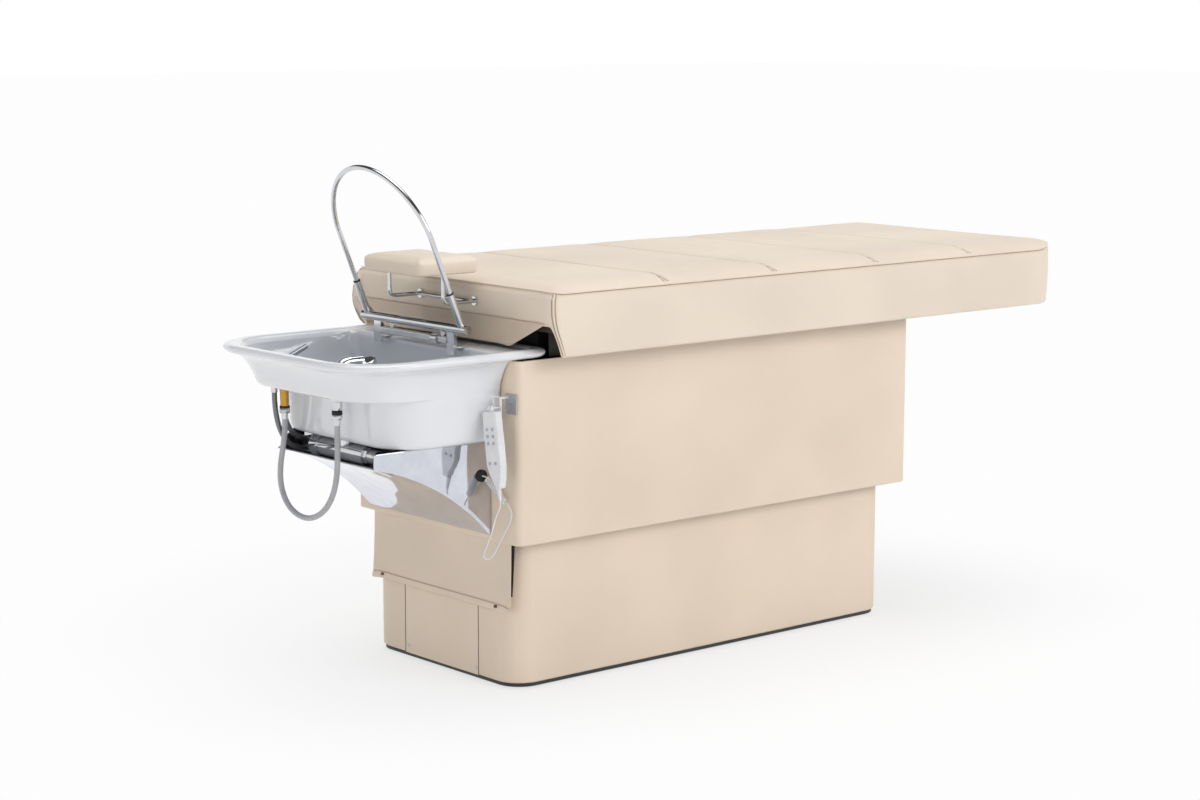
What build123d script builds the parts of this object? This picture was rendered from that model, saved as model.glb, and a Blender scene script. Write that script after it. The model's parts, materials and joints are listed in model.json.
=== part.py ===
from build123d import *
import math
import os

# Hair washing bed, all lengths in millimetres. +X runs from the bowl to the foot end, the near
# side is -Y, +Z is up, and the origin is on the floor below the middle of the whole bed.
# The lift, the arch, the headrest and the water fittings are drawn where the bed stands ready.

os.makedirs("parts", exist_ok=True)

# Overall
bed_length = 2040.0
bed_width = 700.0
head_end = -bed_length / 2
foot_end = bed_length / 2
fit_gap = 0.3
cut_over = 30.0

# Floor plate and glides
glide_radius = 25.0
glide_height = 4.0
glide_edge = 1.0
glide_margin = 60.0
plate_thickness = 8.0
plate_inset = 5.0
plate_top = glide_height + plate_thickness
anchor_radius = 6.5
anchor_margin_x = 110.0
anchor_margin_y = 62.0

# Skirt, the upper box that carries bowl and mattress
bowl_reach = 403.0
skirt_head_x = head_end + bowl_reach
skirt_overhang = 480.0
skirt_foot_x = foot_end - skirt_overhang
skirt_width = 574.0
skirt_bottom = 316.0
skirt_height = 384.0
skirt_top = skirt_bottom + skirt_height
skirt_wall = 8.0
skirt_corner = 16.0
skirt_edge = 2.0

# Base, the lower box inside the skirt
base_gap_head = 13.5
base_gap_side = 32.4
base_gap_foot = 32.0
base_head_x = skirt_head_x + base_gap_head
base_foot_x = skirt_foot_x - base_gap_foot
base_half = skirt_width / 2 - base_gap_side
base_height = 488.0
base_top = plate_top + base_height
base_wall = 14.0
base_corner = 60.0
base_edge = 5.0

# Access panel in the base's head face
panel_width = 261.0
panel_height = 288.0
panel_thickness = 9.0
panel_gap = 0.6
panel_lip = 12.0
panel_screw_margin_y = 9.0
panel_screw_low = 16.0
panel_screw_high = 20.0
screw_head_radius = 4.0
screw_head_height = 1.4
screw_shank_radius = 2.0
screw_hole_radius = 2.05
screw_slot = 1.0

# Lifting columns
column_spacing = 600.0
column_center_x = (skirt_head_x + skirt_foot_x) / 2
column_length_x = 90.0
column_length_y = 130.0
column_outer_wall = 5.0
column_outer_height = 468.0
column_inner_wall = 4.0
column_inner_bottom = 190.0
column_foot_margin = 26.0
column_foot_height = 8.0
column_bolt_radius = 5.0
column_corner = 6.0

# Control box
box_length = 210.0
box_width = 130.0
box_height = 72.0
box_edge = 6.0

# Upper frame
cross_height = 40.0
cross_width = 80.0
cross_wall = 4.0
rail_width = 40.0
rail_height = 57.7
rail_wall = 3.0
rail_half_spacing = 240.0
rail_setback = 102.0
rail_head_x = skirt_head_x + rail_setback
rail_foot_inset = 60.0
rail_foot_x = foot_end - rail_foot_inset
cross_bottom = skirt_top - cross_height
rail_bottom = skirt_top + fit_gap
rail_top = rail_bottom + rail_height

# Mattress
mattress_reach = 450.0
mattress_length = bed_length - mattress_reach
mattress_head_x = head_end + mattress_reach
deck_thickness = 19.4
deck_inset = 12.0
cushion_bottom = rail_top + deck_thickness + 2 * fit_gap
cushion_side = 65.0
seam_z = cushion_bottom + cushion_side
crown_height = 16.0
end_crown = 10.0
end_crown_run = 210.0
side_draw = 5.0
head_bulge = 11.0
foot_bulge = 6.0
head_corner = 35.0
foot_corner = 100.0
channel_shares = [0.227, 0.416, 0.623, 0.831]
channel_radius = 9.0
channel_depth = 5.0
valance_drop = 69.0
valance_wall = 8.0
valance_inset = 1.5
valance_bottom = cushion_bottom - valance_drop
valance_start = 2.0
valance_sweep = 18.0

# Leather flap between mattress and bowl
flap_thickness = 2.5
flap_top_half = 322.0
flap_bottom_half = 218.0
flap_drop = 45.0
flap_tip_drop = 54.0
flap_tip_run = 40.0
flap_setback = 2.8

# Leather apron below the skirt's head face
apron_thickness = 2.5
apron_half = 250.0
apron_drop = 150.0
apron_bottom = skirt_bottom - apron_drop
apron_lap = 42.0
apron_hem_height = 16.0
apron_hem_thickness = 1.6
snap_radius = 3.5
snap_height = 0.8
snap_side = 48.0
snap_rise = 10.0

# Headrest
socket_half_spacing = 95.0
socket_rise = 28.0
socket_z = cushion_bottom + socket_rise
rod_radius = 4.5
crossbar_radius = 4.0
rod_clearance = 0.08
rod_length_inside = 140.0
rod_reach = 86.0
rod_sink = 10.0
rod_bend = 14.0
socket_radius = 6.5
socket_length = rod_length_inside + rod_sink
socket_flange_radius = 9.5
socket_flange = 2.5
pad_rise = 87.0
pad_bottom = cushion_bottom + pad_rise
pad_length = 161.0
pad_width = 206.0
pad_side = 30.0
pad_crown = 8.0
pad_draw = 4.0
pad_corner = 14.0
pad_lap = 11.5
pad_board = 4.0
pad_board_margin = 14.0

# Bowl
bowl_length = 493.0
bowl_half = 290.0
bowl_rise = 22.0
bowl_top = skirt_top + bowl_rise
rim_thickness = 18.7
rim_width = 30.0
rim_round = 8.0
bowl_front_corner = 140.0
bowl_rear_corner = 40.0
bowl_rear_x = head_end + bowl_length
rim_bottom = bowl_top - rim_thickness
bowl_back_x = skirt_head_x - fit_gap
tray_depth = 88.0
tray_bottom = bowl_top - tray_depth
tray_front = 55.0
tray_half = 232.0
bowl_wall = 9.0
basin_front = 140.0
basin_half = 228.0
basin_depth = 192.0
basin_bottom = bowl_top - basin_depth
basin_corner = 90.0
basin_round = 12.0
flare_shares = [(0.0, 0.26), (0.18, 0.56), (0.42, 0.78), (0.70, 0.93), (1.0, 1.0)]
deck_drop = 5.0
deck_front = 374.0
deck_side = 60.0
deck_back = 28.0

# Waste
drain_reach = 178.0
drain_x = head_end + drain_reach
strainer_radius = 24.0
strainer_flange = 2.5
strainer_slot_radius = 2.6
strainer_slot_ring = 13.0
strainer_slots = 8
tail_radius = 16.0
trap_radius = 20.0
trap_drop = 26.0
trap_z = basin_bottom - trap_drop
trap_near = 75.0
trap_far = 85.0
trap_nut_radius = 23.0
trap_nut_length = 27.0
trap_cap_length = 36.0
trap_cap_radius = 17.5
drain_run = 162.0
drain_radius = 16.0
drain_wall = 2.5
drain_bend = 32.0
drain_drop = 84.0
drain_end_z = basin_bottom - drain_drop

# Bowl brackets
bracket_half_spacing = 75.0
bracket_width = 40.0
bracket_thickness = 5.0
bracket_reach = 180.0
bracket_drop = 150.0
bracket_rib = 90.0

# Cowl under the bowl
cowl_half = 195.0
cowl_sheet = 1.5
cowl_reach = 296.0
cowl_radius = 568.0
cowl_drop_rear = 204.0
cowl_drop_front = 32.0
cowl_rise_rear = basin_bottom - cowl_drop_rear
cowl_rise_front = basin_bottom - cowl_drop_front
cowl_flange = 16.0

# Water fittings in the bowl's front ledge
fitting_reach = 100.0
fitting_x = head_end + fitting_reach
ledge_top = tray_bottom + bowl_wall
mixer_y = 113.0
mixer_radius = 21.0
mixer_height = 34.0
mixer_collar = 3.0
cap_height = 16.0
cap_edge = 5.0
lever_radius = 4.5
lever_length = 46.0
lever_rise = 20.0
shank_radius = 9.0
shank_low = 44.0
inlet_y = 136.0
inlet_half_spacing = 10.0
inlet_radius = 7.0
inlet_drop = 14.0
shower_y = -78.0
guide_flange_radius = 17.0
guide_flange = 3.5
guide_radius = 8.7
guide_bore = 7.1
guide_low = 34.0
guide_nut_radius = 15.0
guide_nut_height = 8.0
shower_tail_radius = 7.0
shower_tail = 32.0
shower_handle_radius = 11.0
shower_rise = 24.0
shower_bend = 32.0
shower_reach = 62.0
shower_head_radius = 22.0
shower_head_height = 14.0
shower_head_tilt = 20.0
shower_head_edge = 3.0
ring_height = 12.0
ring_radius = 10.0
ferrule_radius = 7.0
ferrule_height = 12.0
hose_radius = 6.0
supply_radius = 5.5
supply_reach = 72.0
supply_end_x = fitting_x + supply_reach
supply_turn = 55.0
supply_drop = 15.0
supply_low_z = basin_bottom - supply_drop
supply_spread = 21.0

# Stop valve block with a turning lever
valve_length = 30.0
valve_half_width = 15.0
valve_height = 44.0
valve_edge = 2.0
valve_stub_radius = 7.0
valve_stub_length = 20.0
valve_spindle_radius = 4.0
valve_spindle_length = 6.0

# Arch over the bowl
bar_reach = 353.0
bar_x = head_end + bar_reach
bar_rise = 37.0
bar_z = bowl_top + bar_rise
bar_radius = 9.5
bar_half = 156.0
spigot_radius = 6.0
spigot_length = 22.0
turning_gap = 0.05
collar_length = 27.0
collar_wall = 4.0
arch_lean = 22.0
arch_half = 165.0
arch_tube_radius = 5.5
sleeve_radius = 7.5
sleeve_top = 80.0
sleeve_bore_floor = 42.0
seal_height = 2.5
arch_leg_top = 200.0
arch_top = 355.0
arch_shoulder = 125.0
post_half_spacing = 129.0
post_width = 24.0
post_thickness = 8.0
post_foot_length = 70.0
post_foot_height = 4.0
post_drop = 12.0
deck_z = bowl_top - deck_drop
rail_bar = 13.0
rail_bar_rise = 10.5
rail_bar_z = bowl_top + rail_bar_rise
rail_wall_thickness = 2.0
clamp_far_y = 81.0
clamp_near_y = -98.0
clamp_shank = 2.2
clamp_boss_radius = 4.0
clamp_boss_height = 4.0
clamp_wing = 15.0
clamp_wing_height = 5.5
clamp_wing_thickness = 2.2
knob_radius = 11.0
knob_length = 20.0
knob_ribs = 14
knob_rib_radius = 1.1
knob_y = -66.0

# Remote control and its holder
holder_y = -264.0
holder_width = 36.0
holder_drop = 89.0
holder_z = skirt_top - holder_drop
holder_height = 42.0
holder_thickness = 2.0
holder_edge = 3.0
holder_screw_radius = 3.0
hook_section = 4.0
hook_reach = 22.0
hook_y = -255.0
hook_rise = 16.0
hook_z = holder_z + hook_rise
hook_drop = 37.0
hook_bottom = holder_z - hook_drop
hook_plate_width = 7.0
hook_plate_height = 34.0
peg_radius = 1.8
peg_drop = 5.0
peg_z = holder_z - peg_drop
bail_radius = 1.0
bail_reach = 41.0
bail_rise = 4.0
bail_return = 7.0
remote_reach = 55.0
remote_front_x = skirt_head_x - remote_reach
remote_drop = 6.0
remote_top_z = peg_z - remote_drop
remote_lean = 8.0
remote_thickness = 17.0
remote_width = 46.0
remote_length = 158.0
remote_shares = [(-0.46, 0), (0.50, 0), (0.54, 0.38), (0.54, 0.71), (0.43, 0.89), (0.30, 1),
                 (0.02, 1), (-0.09, 0.92), (-0.26, 0.85), (-0.46, 0.71), (-0.46, 0)]
remote_corner = 6.0
remote_edge = 2.0
eye_radius = 5.0
eye_bore = 2.2
eye_thickness = 5.0
button_radius = 3.6
button_clearance = 0.25
button_proud = 1.2
button_depth = 3.0
button_travel = 1.0
button_column = 9.0
button_row_shares = [0.23, 0.32, 0.41, 0.67]
relief_radius = 4.5
relief_end_radius = 2.6
relief_length = 24.0
relief_offset = 3.0
cord_radius = 1.5

# Curly cord: leaves the grommet in the cowl, fourteen curls, then a plain loop to the remote
grommet_reach = 26.0
grommet_x = skirt_head_x - grommet_reach
grommet_drop = 244.0
grommet_z = skirt_top - grommet_drop
grommet_radius = 13.0
grommet_height = 4.0
grommet_neck = 6.5
coil_radius = 5.5
coil_turns = 14
coil_pitch = 4.6
coil_direction = Vector(0.20, -0.68, -0.70).normalized()
coil_lead = 9.0
coil_steps = 3
loop_lead = 9.0
tail_lead = 14.0


def save(builder, name):
    """Name a finished piece and write it."""
    builder.part.label = name
    export_step(builder.part, f"parts/{name}.step")
    solids = builder.part.solids()
    print(f"{name}: {len(solids)} solid(s), {builder.part.volume / 1000:.1f} cm3")


def plan_face(z, x0, x1, half_width, head_radius, foot_radius):
    """Rounded rectangle in plan at height z, from x0 to x1, equal about the middle plane."""
    with BuildSketch(Plane.XY.offset(z)) as face:
        with Locations(((x0 + x1) / 2, 0)):
            Rectangle(x1 - x0, 2 * half_width)
        fillet(face.vertices().group_by(Axis.X)[0], head_radius)
        fillet(face.vertices().group_by(Axis.X)[-1], foot_radius)
    return face.sketch


def biarc(start, start_direction, end, end_direction):
    """Two arcs, tangent to each other, between two points with given directions."""
    chord = end - start
    both = start_direction + end_direction
    turn = 2 * (1 - start_direction.dot(end_direction))
    along = chord.dot(both)
    reach = (-along + math.sqrt(along ** 2 + turn * chord.dot(chord))) / turn
    middle = (start + end + (start_direction - end_direction) * reach) / 2
    first = TangentArc(start, middle, tangent=start_direction)
    TangentArc(middle, end, tangent=first % 1)


def arc_radii(points):
    """Corner radii for a cord's route: 0.45 of the shorter run over the tangent of half the turn."""
    vectors = [Vector(*p) for p in points]
    radii = []
    for before, corner, after in zip(vectors, vectors[1:], vectors[2:]):
        run_in = corner - before
        run_out = after - corner
        half_turn = math.radians(run_in.get_angle(run_out)) / 2
        radii.append(0.45 * min(run_in.length, run_out.length) / math.tan(half_turn))
    return radii


def tube_along(points, radius, radii=None):
    """Plain tube along straight runs joined by tangent arcs, as a cord or hose lies."""
    radii = radii or arc_radii(points)
    with BuildPart() as tube:
        with BuildLine() as route:
            FilletPolyline(*points, radius=radii)
        path = route.wires()[0]
        with BuildSketch(path ^ 0):
            Circle(radius)
        sweep(path=path)
    length = path.length
    share = tube.part.volume / (math.pi * radius ** 2 * length)
    print(f"route {length:.0f} mm, least radius {min(radii):.0f} mm, volume share {share:.3f}")
    return tube


# Floor glides and plate

glide_span_x = base_foot_x - base_head_x - 2 * glide_margin
glide_span_y = 2 * (base_half - glide_margin)
base_center_x = (base_head_x + base_foot_x) / 2

with BuildPart() as floor_glides:
    with BuildSketch():
        with Locations((base_center_x, 0)):
            with GridLocations(glide_span_x / 2, glide_span_y, 3, 2):
                Circle(glide_radius)
    extrude(amount=glide_height)
    chamfer(floor_glides.faces().filter_by(Axis.Z).group_by(Axis.Z)[0].edges(), glide_edge)
save(floor_glides, "floor_glides")

with BuildPart() as base_plate:
    plate_corner = base_corner - plate_inset
    extrude(plan_face(glide_height, base_head_x + plate_inset, base_foot_x - plate_inset,
                      base_half - plate_inset, plate_corner, plate_corner),
            amount=plate_thickness)
    with Locations((base_center_x, 0, plate_top)):
        with GridLocations(base_foot_x - base_head_x - 2 * anchor_margin_x,
                           2 * (base_half - anchor_margin_y), 2, 2):
            Hole(anchor_radius, depth=plate_thickness)
save(base_plate, "base_plate")

# Base casing with a stepped opening for the access panel

panel_top = plate_top + panel_height
panel_half = panel_width / 2
screw_places = [(-panel_half + panel_screw_margin_y, plate_top + panel_screw_low),
                (panel_half - panel_screw_margin_y, plate_top + panel_screw_low),
                (-panel_half + panel_screw_margin_y, panel_top - panel_screw_high),
                (panel_half - panel_screw_margin_y, panel_top - panel_screw_high)]

with BuildPart() as base_casing:
    extrude(plan_face(plate_top, base_head_x, base_foot_x, base_half, base_corner, base_corner),
            amount=base_height)
    fillet(base_casing.faces().sort_by(Axis.Z)[0].edges(), base_edge)
    inner_corner = base_corner - base_wall
    extrude(plan_face(plate_top, base_head_x + base_wall, base_foot_x - base_wall,
                      base_half - base_wall, inner_corner, inner_corner),
            amount=base_height, mode=Mode.SUBTRACT)
    with BuildSketch(Plane.YZ.offset(base_head_x)):
        with Locations((0, plate_top)):
            Rectangle(panel_width + 2 * panel_gap, panel_height + panel_gap,
                      align=(Align.CENTER, Align.MIN))
    extrude(amount=panel_thickness + fit_gap, mode=Mode.SUBTRACT)
    with BuildSketch(Plane.YZ.offset(base_head_x)):
        with Locations((0, plate_top + panel_lip)):
            Rectangle(panel_width - 2 * panel_lip, panel_height - 2 * panel_lip,
                      align=(Align.CENTER, Align.MIN))
    extrude(amount=base_wall + cut_over, mode=Mode.SUBTRACT)
    with Locations(Plane.YZ.offset(base_head_x)):
        with Locations(*screw_places):
            Cylinder(screw_hole_radius, base_wall + cut_over, mode=Mode.SUBTRACT)
save(base_casing, "base_casing")

with BuildPart() as access_panel:
    with BuildSketch(Plane.YZ.offset(base_head_x)):
        with Locations((0, plate_top + fit_gap)):
            Rectangle(panel_width, panel_height - fit_gap, align=(Align.CENTER, Align.MIN))
    extrude(amount=panel_thickness)
    with BuildSketch(Plane.YZ.offset(base_head_x)):
        with Locations(*screw_places):
            Circle(screw_hole_radius)
    extrude(amount=panel_thickness, mode=Mode.SUBTRACT)
save(access_panel, "access_panel")

with BuildPart() as access_panel_screws:
    with BuildSketch(Plane.YZ.offset(base_head_x - screw_head_height)):
        with Locations(*screw_places):
            Circle(screw_head_radius)
    extrude(amount=screw_head_height)
    with BuildSketch(Plane.YZ.offset(base_head_x)):
        with Locations(*screw_places):
            Circle(screw_shank_radius)
    extrude(amount=base_wall)
    with BuildSketch(Plane.YZ.offset(base_head_x - screw_head_height)):
        with Locations(*screw_places):
            Rectangle(2 * screw_head_radius, screw_slot)
    extrude(amount=screw_head_height / 2, mode=Mode.SUBTRACT)
save(access_panel_screws, "access_panel_screws")

# Lifting columns: an outer tube on the plate and an inner tube under the frame

column_inner_length_x = column_length_x - 2 * column_outer_wall - 2 * fit_gap
column_inner_length_y = column_length_y - 2 * column_outer_wall - 2 * fit_gap


def column_tube(x, z, height, length_x, length_y, wall):
    """Rectangular tube with rounded corners, standing at x on height z."""
    with BuildSketch(Plane.XY.offset(z)) as section:
        with Locations((x, 0)):
            RectangleRounded(length_x, length_y, column_corner)
            RectangleRounded(length_x - 2 * wall, length_y - 2 * wall, column_corner - wall / 2,
                             mode=Mode.SUBTRACT)
    return extrude(section.sketch, amount=height, mode=Mode.PRIVATE)


with BuildPart() as columns_outer:
    for side in (-1, 1):
        column_x = column_center_x + side * column_spacing / 2
        add(column_tube(column_x, plate_top, column_outer_height, column_length_x,
                        column_length_y, column_outer_wall))
        with BuildSketch(Plane.XY.offset(plate_top)):
            with Locations((column_x, 0)):
                Rectangle(column_length_x + 2 * column_foot_margin,
                          column_length_y + 2 * column_foot_margin)
                Rectangle(column_length_x - 2 * column_outer_wall,
                          column_length_y - 2 * column_outer_wall, mode=Mode.SUBTRACT)
                with GridLocations(column_length_x + column_foot_margin,
                                   column_length_y + column_foot_margin, 2, 2):
                    Circle(column_bolt_radius, mode=Mode.SUBTRACT)
        extrude(amount=column_foot_height)
save(columns_outer, "columns_outer")

with BuildPart() as columns_inner:
    for side in (-1, 1):
        column_x = column_center_x + side * column_spacing / 2
        add(column_tube(column_x, column_inner_bottom, cross_bottom - column_inner_bottom,
                        column_inner_length_x, column_inner_length_y, column_inner_wall))
        with BuildSketch(Plane.XY.offset(cross_bottom - column_foot_height)):
            with Locations((column_x, 0)):
                Rectangle(column_length_x, column_length_y + 2 * column_foot_margin)
        extrude(amount=column_foot_height)
save(columns_inner, "columns_inner")

with BuildPart() as control_box:
    with BuildSketch(Plane.XY.offset(plate_top)):
        with Locations((column_center_x, 0)):
            Rectangle(box_length, box_width)
    extrude(amount=box_height)
    fillet(control_box.edges().filter_by(Axis.Z), box_edge)
    fillet(control_box.faces().sort_by(Axis.Z)[-1].edges(), box_edge / 2)
save(control_box, "control_box")

# Upper frame: two rails on two cross members, closed by end bars

with BuildPart() as upper_frame:
    for side in (-1, 1):
        with BuildSketch(Plane.YZ.offset(rail_head_x)):
            with Locations((side * rail_half_spacing, (rail_bottom + rail_top) / 2)):
                Rectangle(rail_width, rail_height)
                Rectangle(rail_width - 2 * rail_wall, rail_height - 2 * rail_wall,
                          mode=Mode.SUBTRACT)
        extrude(amount=rail_foot_x - rail_head_x)
    bar_length = 2 * rail_half_spacing - rail_width
    for x in (rail_head_x, rail_foot_x - rail_width):
        with BuildSketch(Plane.XZ.offset(-bar_length / 2)):
            with Locations((x + rail_width / 2, (rail_bottom + rail_top) / 2)):
                Rectangle(rail_width, rail_height)
                Rectangle(rail_width - 2 * rail_wall, rail_height - 2 * rail_wall,
                          mode=Mode.SUBTRACT)
        extrude(amount=bar_length)
    cross_half = skirt_width / 2 - skirt_wall - fit_gap
    for side in (-1, 1):
        with BuildSketch(Plane.XZ.offset(-cross_half)):
            with Locations((column_center_x + side * column_spacing / 2,
                            (cross_bottom + rail_bottom) / 2)):
                Rectangle(cross_width, rail_bottom - cross_bottom)
                Rectangle(cross_width - 2 * cross_wall,
                          rail_bottom - cross_bottom - 2 * cross_wall, mode=Mode.SUBTRACT)
        extrude(amount=2 * cross_half)
save(upper_frame, "upper_frame")

# Skirt casing, open above and below

with BuildPart() as skirt_casing:
    extrude(plan_face(skirt_bottom, skirt_head_x, skirt_foot_x, skirt_width / 2, skirt_corner,
                      skirt_corner),
            amount=skirt_height)
    fillet(skirt_casing.faces().sort_by(Axis.Z)[0].edges(), skirt_edge)
    inner_corner = skirt_corner - skirt_wall
    extrude(plan_face(skirt_bottom, skirt_head_x + skirt_wall, skirt_foot_x - skirt_wall,
                      skirt_width / 2 - skirt_wall, inner_corner, inner_corner),
            amount=skirt_height, mode=Mode.SUBTRACT)
save(skirt_casing, "skirt_casing")

# Mattress: deck board, cushion and hanging valance

half_width = bed_width / 2

with BuildPart() as mattress_deck:
    extrude(plan_face(rail_top, mattress_head_x + deck_inset, foot_end - deck_inset,
                      half_width - deck_inset, head_corner - deck_inset, foot_corner - deck_inset),
            amount=deck_thickness + fit_gap)
save(mattress_deck, "mattress_deck")

cushion_mid = (cushion_bottom + seam_z) / 2
crown_z = seam_z + crown_height

with BuildPart() as mattress_cushion:
    extrude(plan_face(cushion_bottom, mattress_head_x - head_bulge, foot_end, half_width,
                      head_corner, foot_corner),
            amount=cushion_side + crown_height + cut_over)
    with BuildSketch(Plane.YZ.offset(mattress_head_x - cut_over)):
        with BuildLine():
            drawn = half_width - side_draw
            Line((-drawn, cushion_bottom), (drawn, cushion_bottom))
            ThreePointArc((drawn, cushion_bottom), (half_width, cushion_mid), (drawn, seam_z))
            ThreePointArc((drawn, seam_z), (0, crown_z), (-drawn, seam_z))
            ThreePointArc((-drawn, seam_z), (-half_width, cushion_mid), (-drawn, cushion_bottom))
        make_face()
    extrude(amount=mattress_length + 2 * cut_over, mode=Mode.INTERSECT)
    with BuildSketch(Plane.XZ.offset(-half_width - cut_over)):
        with BuildLine():
            head_low = mattress_head_x
            foot_low = foot_end - foot_bulge
            end_top = seam_z + crown_height - end_crown
            Line((head_low, cushion_bottom), (foot_low, cushion_bottom))
            ThreePointArc((foot_low, cushion_bottom), (foot_end, cushion_mid), (foot_low, seam_z))
            rise = end_top - seam_z + end_crown
            ThreePointArc((foot_low, seam_z),
                          (foot_low - end_crown_run / 4, seam_z + rise * 7 / 12),
                          (foot_low - end_crown_run, crown_z))
            Line((foot_low - end_crown_run, crown_z), (head_low + end_crown_run, crown_z))
            ThreePointArc((head_low + end_crown_run, crown_z),
                          (head_low + end_crown_run / 4, seam_z + rise * 7 / 12),
                          (head_low, seam_z))
            ThreePointArc((head_low, seam_z), (head_low - head_bulge, cushion_mid),
                          (head_low, cushion_bottom))
        make_face()
    extrude(amount=bed_width + 2 * cut_over, mode=Mode.INTERSECT)
    for share in channel_shares:
        channel_x = mattress_head_x + share * mattress_length
        lift = channel_radius - channel_depth
        with BuildLine(Plane.YZ.offset(channel_x)) as channel_path:
            ThreePointArc((-half_width, seam_z + lift), (0, crown_z + lift),
                          (half_width, seam_z + lift))
        with BuildSketch(channel_path.line ^ 0):
            Circle(channel_radius)
        sweep(path=channel_path.line, mode=Mode.SUBTRACT)
    with Locations(Plane.YZ.offset(mattress_head_x)):
        with Locations((-socket_half_spacing, socket_z), (socket_half_spacing, socket_z)):
            Cylinder(socket_radius + fit_gap, 2 * (socket_length + fit_gap), mode=Mode.SUBTRACT)
save(mattress_cushion, "mattress_cushion")

with BuildPart() as mattress_valance:
    extrude(plan_face(valance_bottom, mattress_head_x, foot_end - valance_inset,
                      half_width - valance_inset, head_corner, foot_corner - valance_inset),
            amount=valance_drop - fit_gap)
    extrude(plan_face(valance_bottom, mattress_head_x - cut_over,
                      foot_end - valance_inset - valance_wall,
                      half_width - valance_inset - valance_wall, head_corner,
                      foot_corner - valance_inset - valance_wall),
            amount=valance_drop, mode=Mode.SUBTRACT)
    with BuildSketch(Plane.XZ.offset(-half_width - cut_over)):
        with BuildLine():
            sweep_x = mattress_head_x + valance_start
            low = (sweep_x + valance_sweep, valance_bottom)
            high = (sweep_x, cushion_bottom)
            bend = (sweep_x + valance_sweep / 5, valance_bottom + valance_drop / 2)
            ThreePointArc(low, bend, high)
            Polyline(high, (mattress_head_x - cut_over, cushion_bottom),
                     (mattress_head_x - cut_over, valance_bottom), low)
        make_face()
    extrude(amount=bed_width + 2 * cut_over, mode=Mode.SUBTRACT)
save(mattress_valance, "mattress_valance")

# Leather flap hanging from the mattress onto the bowl's rear deck

flap_x = mattress_head_x - flap_setback

with BuildPart() as head_flap:
    with BuildSketch(Plane.YZ.offset(flap_x)):
        with BuildLine():
            top = cushion_bottom - fit_gap
            tip = top - flap_tip_drop
            hem = top - flap_drop
            Polyline((flap_top_half, top), (-flap_top_half, top), (-flap_bottom_half, tip),
                     (-flap_bottom_half + flap_tip_run, hem),
                     (flap_bottom_half - flap_tip_run, hem), (flap_bottom_half, tip),
                     (flap_top_half, top))
        make_face()
    extrude(amount=flap_thickness)
save(head_flap, "head_flap")

# Leather apron hanging inside the skirt's head wall, in front of the base

apron_x = skirt_head_x + skirt_wall + fit_gap
apron_top = skirt_bottom + apron_lap

with BuildPart() as lower_apron:
    with BuildSketch(Plane.YZ.offset(apron_x)):
        with Locations((0, apron_bottom)):
            Rectangle(2 * apron_half, apron_top - apron_bottom, align=(Align.CENTER, Align.MIN))
    extrude(amount=apron_thickness)
    with BuildSketch(Plane.YZ.offset(apron_x)):
        with Locations((0, apron_bottom)):
            Rectangle(2 * apron_half, apron_hem_height, align=(Align.CENTER, Align.MIN))
    extrude(amount=-apron_hem_thickness)
    fillet(lower_apron.faces().sort_by(Axis.X)[0].edges().filter_by(Axis.Y), snap_height)
save(lower_apron, "lower_apron")

with BuildPart() as apron_snaps:
    with BuildSketch(Plane.YZ.offset(apron_x - apron_hem_thickness)):
        for side in (-1, 1):
            with Locations((side * (apron_half - snap_side), apron_bottom + snap_rise)):
                Circle(snap_radius)
    extrude(amount=-snap_height)
save(apron_snaps, "apron_snaps")

# Headrest: sockets in the mattress, bent rods, board and pad

socket_face_x = mattress_head_x - head_bulge
rod_low_x = socket_face_x - rod_reach + rod_radius

with BuildPart() as headrest_sockets:
    with BuildSketch(Plane.YZ.offset(socket_face_x)):
        with Locations((-socket_half_spacing, socket_z), (socket_half_spacing, socket_z)):
            Circle(socket_radius)
    extrude(amount=socket_length)
    with BuildSketch(Plane.YZ.offset(socket_face_x - socket_flange)):
        with Locations((-socket_half_spacing, socket_z), (socket_half_spacing, socket_z)):
            Circle(socket_flange_radius)
    extrude(amount=socket_flange)
    with BuildSketch(Plane.YZ.offset(socket_face_x - socket_flange)):
        with Locations((-socket_half_spacing, socket_z), (socket_half_spacing, socket_z)):
            Circle(rod_radius + rod_clearance)
    extrude(amount=socket_length + socket_flange, mode=Mode.SUBTRACT)
save(headrest_sockets, "headrest_sockets")

with BuildPart() as headrest_rods:
    for side in (-1, 1):
        rod_y = side * socket_half_spacing
        with BuildLine() as rod_path:
            FilletPolyline((socket_face_x + rod_length_inside, rod_y, socket_z),
                           (rod_low_x, rod_y, socket_z), (rod_low_x, rod_y, pad_bottom),
                           radius=rod_bend)
        with BuildSketch(rod_path.line ^ 0):
            Circle(rod_radius)
        sweep(path=rod_path.line)
    with BuildSketch(Plane.XZ.offset(-socket_half_spacing)):
        with Locations((socket_face_x - socket_flange - fit_gap - rod_radius, socket_z)):
            Circle(crossbar_radius)
    extrude(amount=2 * socket_half_spacing)
save(headrest_rods, "headrest_rods")

pad_foot_x = socket_face_x + pad_lap
pad_head_x = pad_foot_x - pad_length
pad_mid_z = pad_bottom + pad_side / 2
pad_top_z = pad_bottom + pad_side + pad_crown

with BuildPart() as headrest_board:
    extrude(plan_face(pad_bottom, pad_head_x + pad_board_margin, pad_foot_x - pad_board_margin,
                      pad_width / 2 - pad_board_margin, pad_corner / 2, pad_corner / 2),
            amount=pad_board)
save(headrest_board, "headrest_board")

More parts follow.
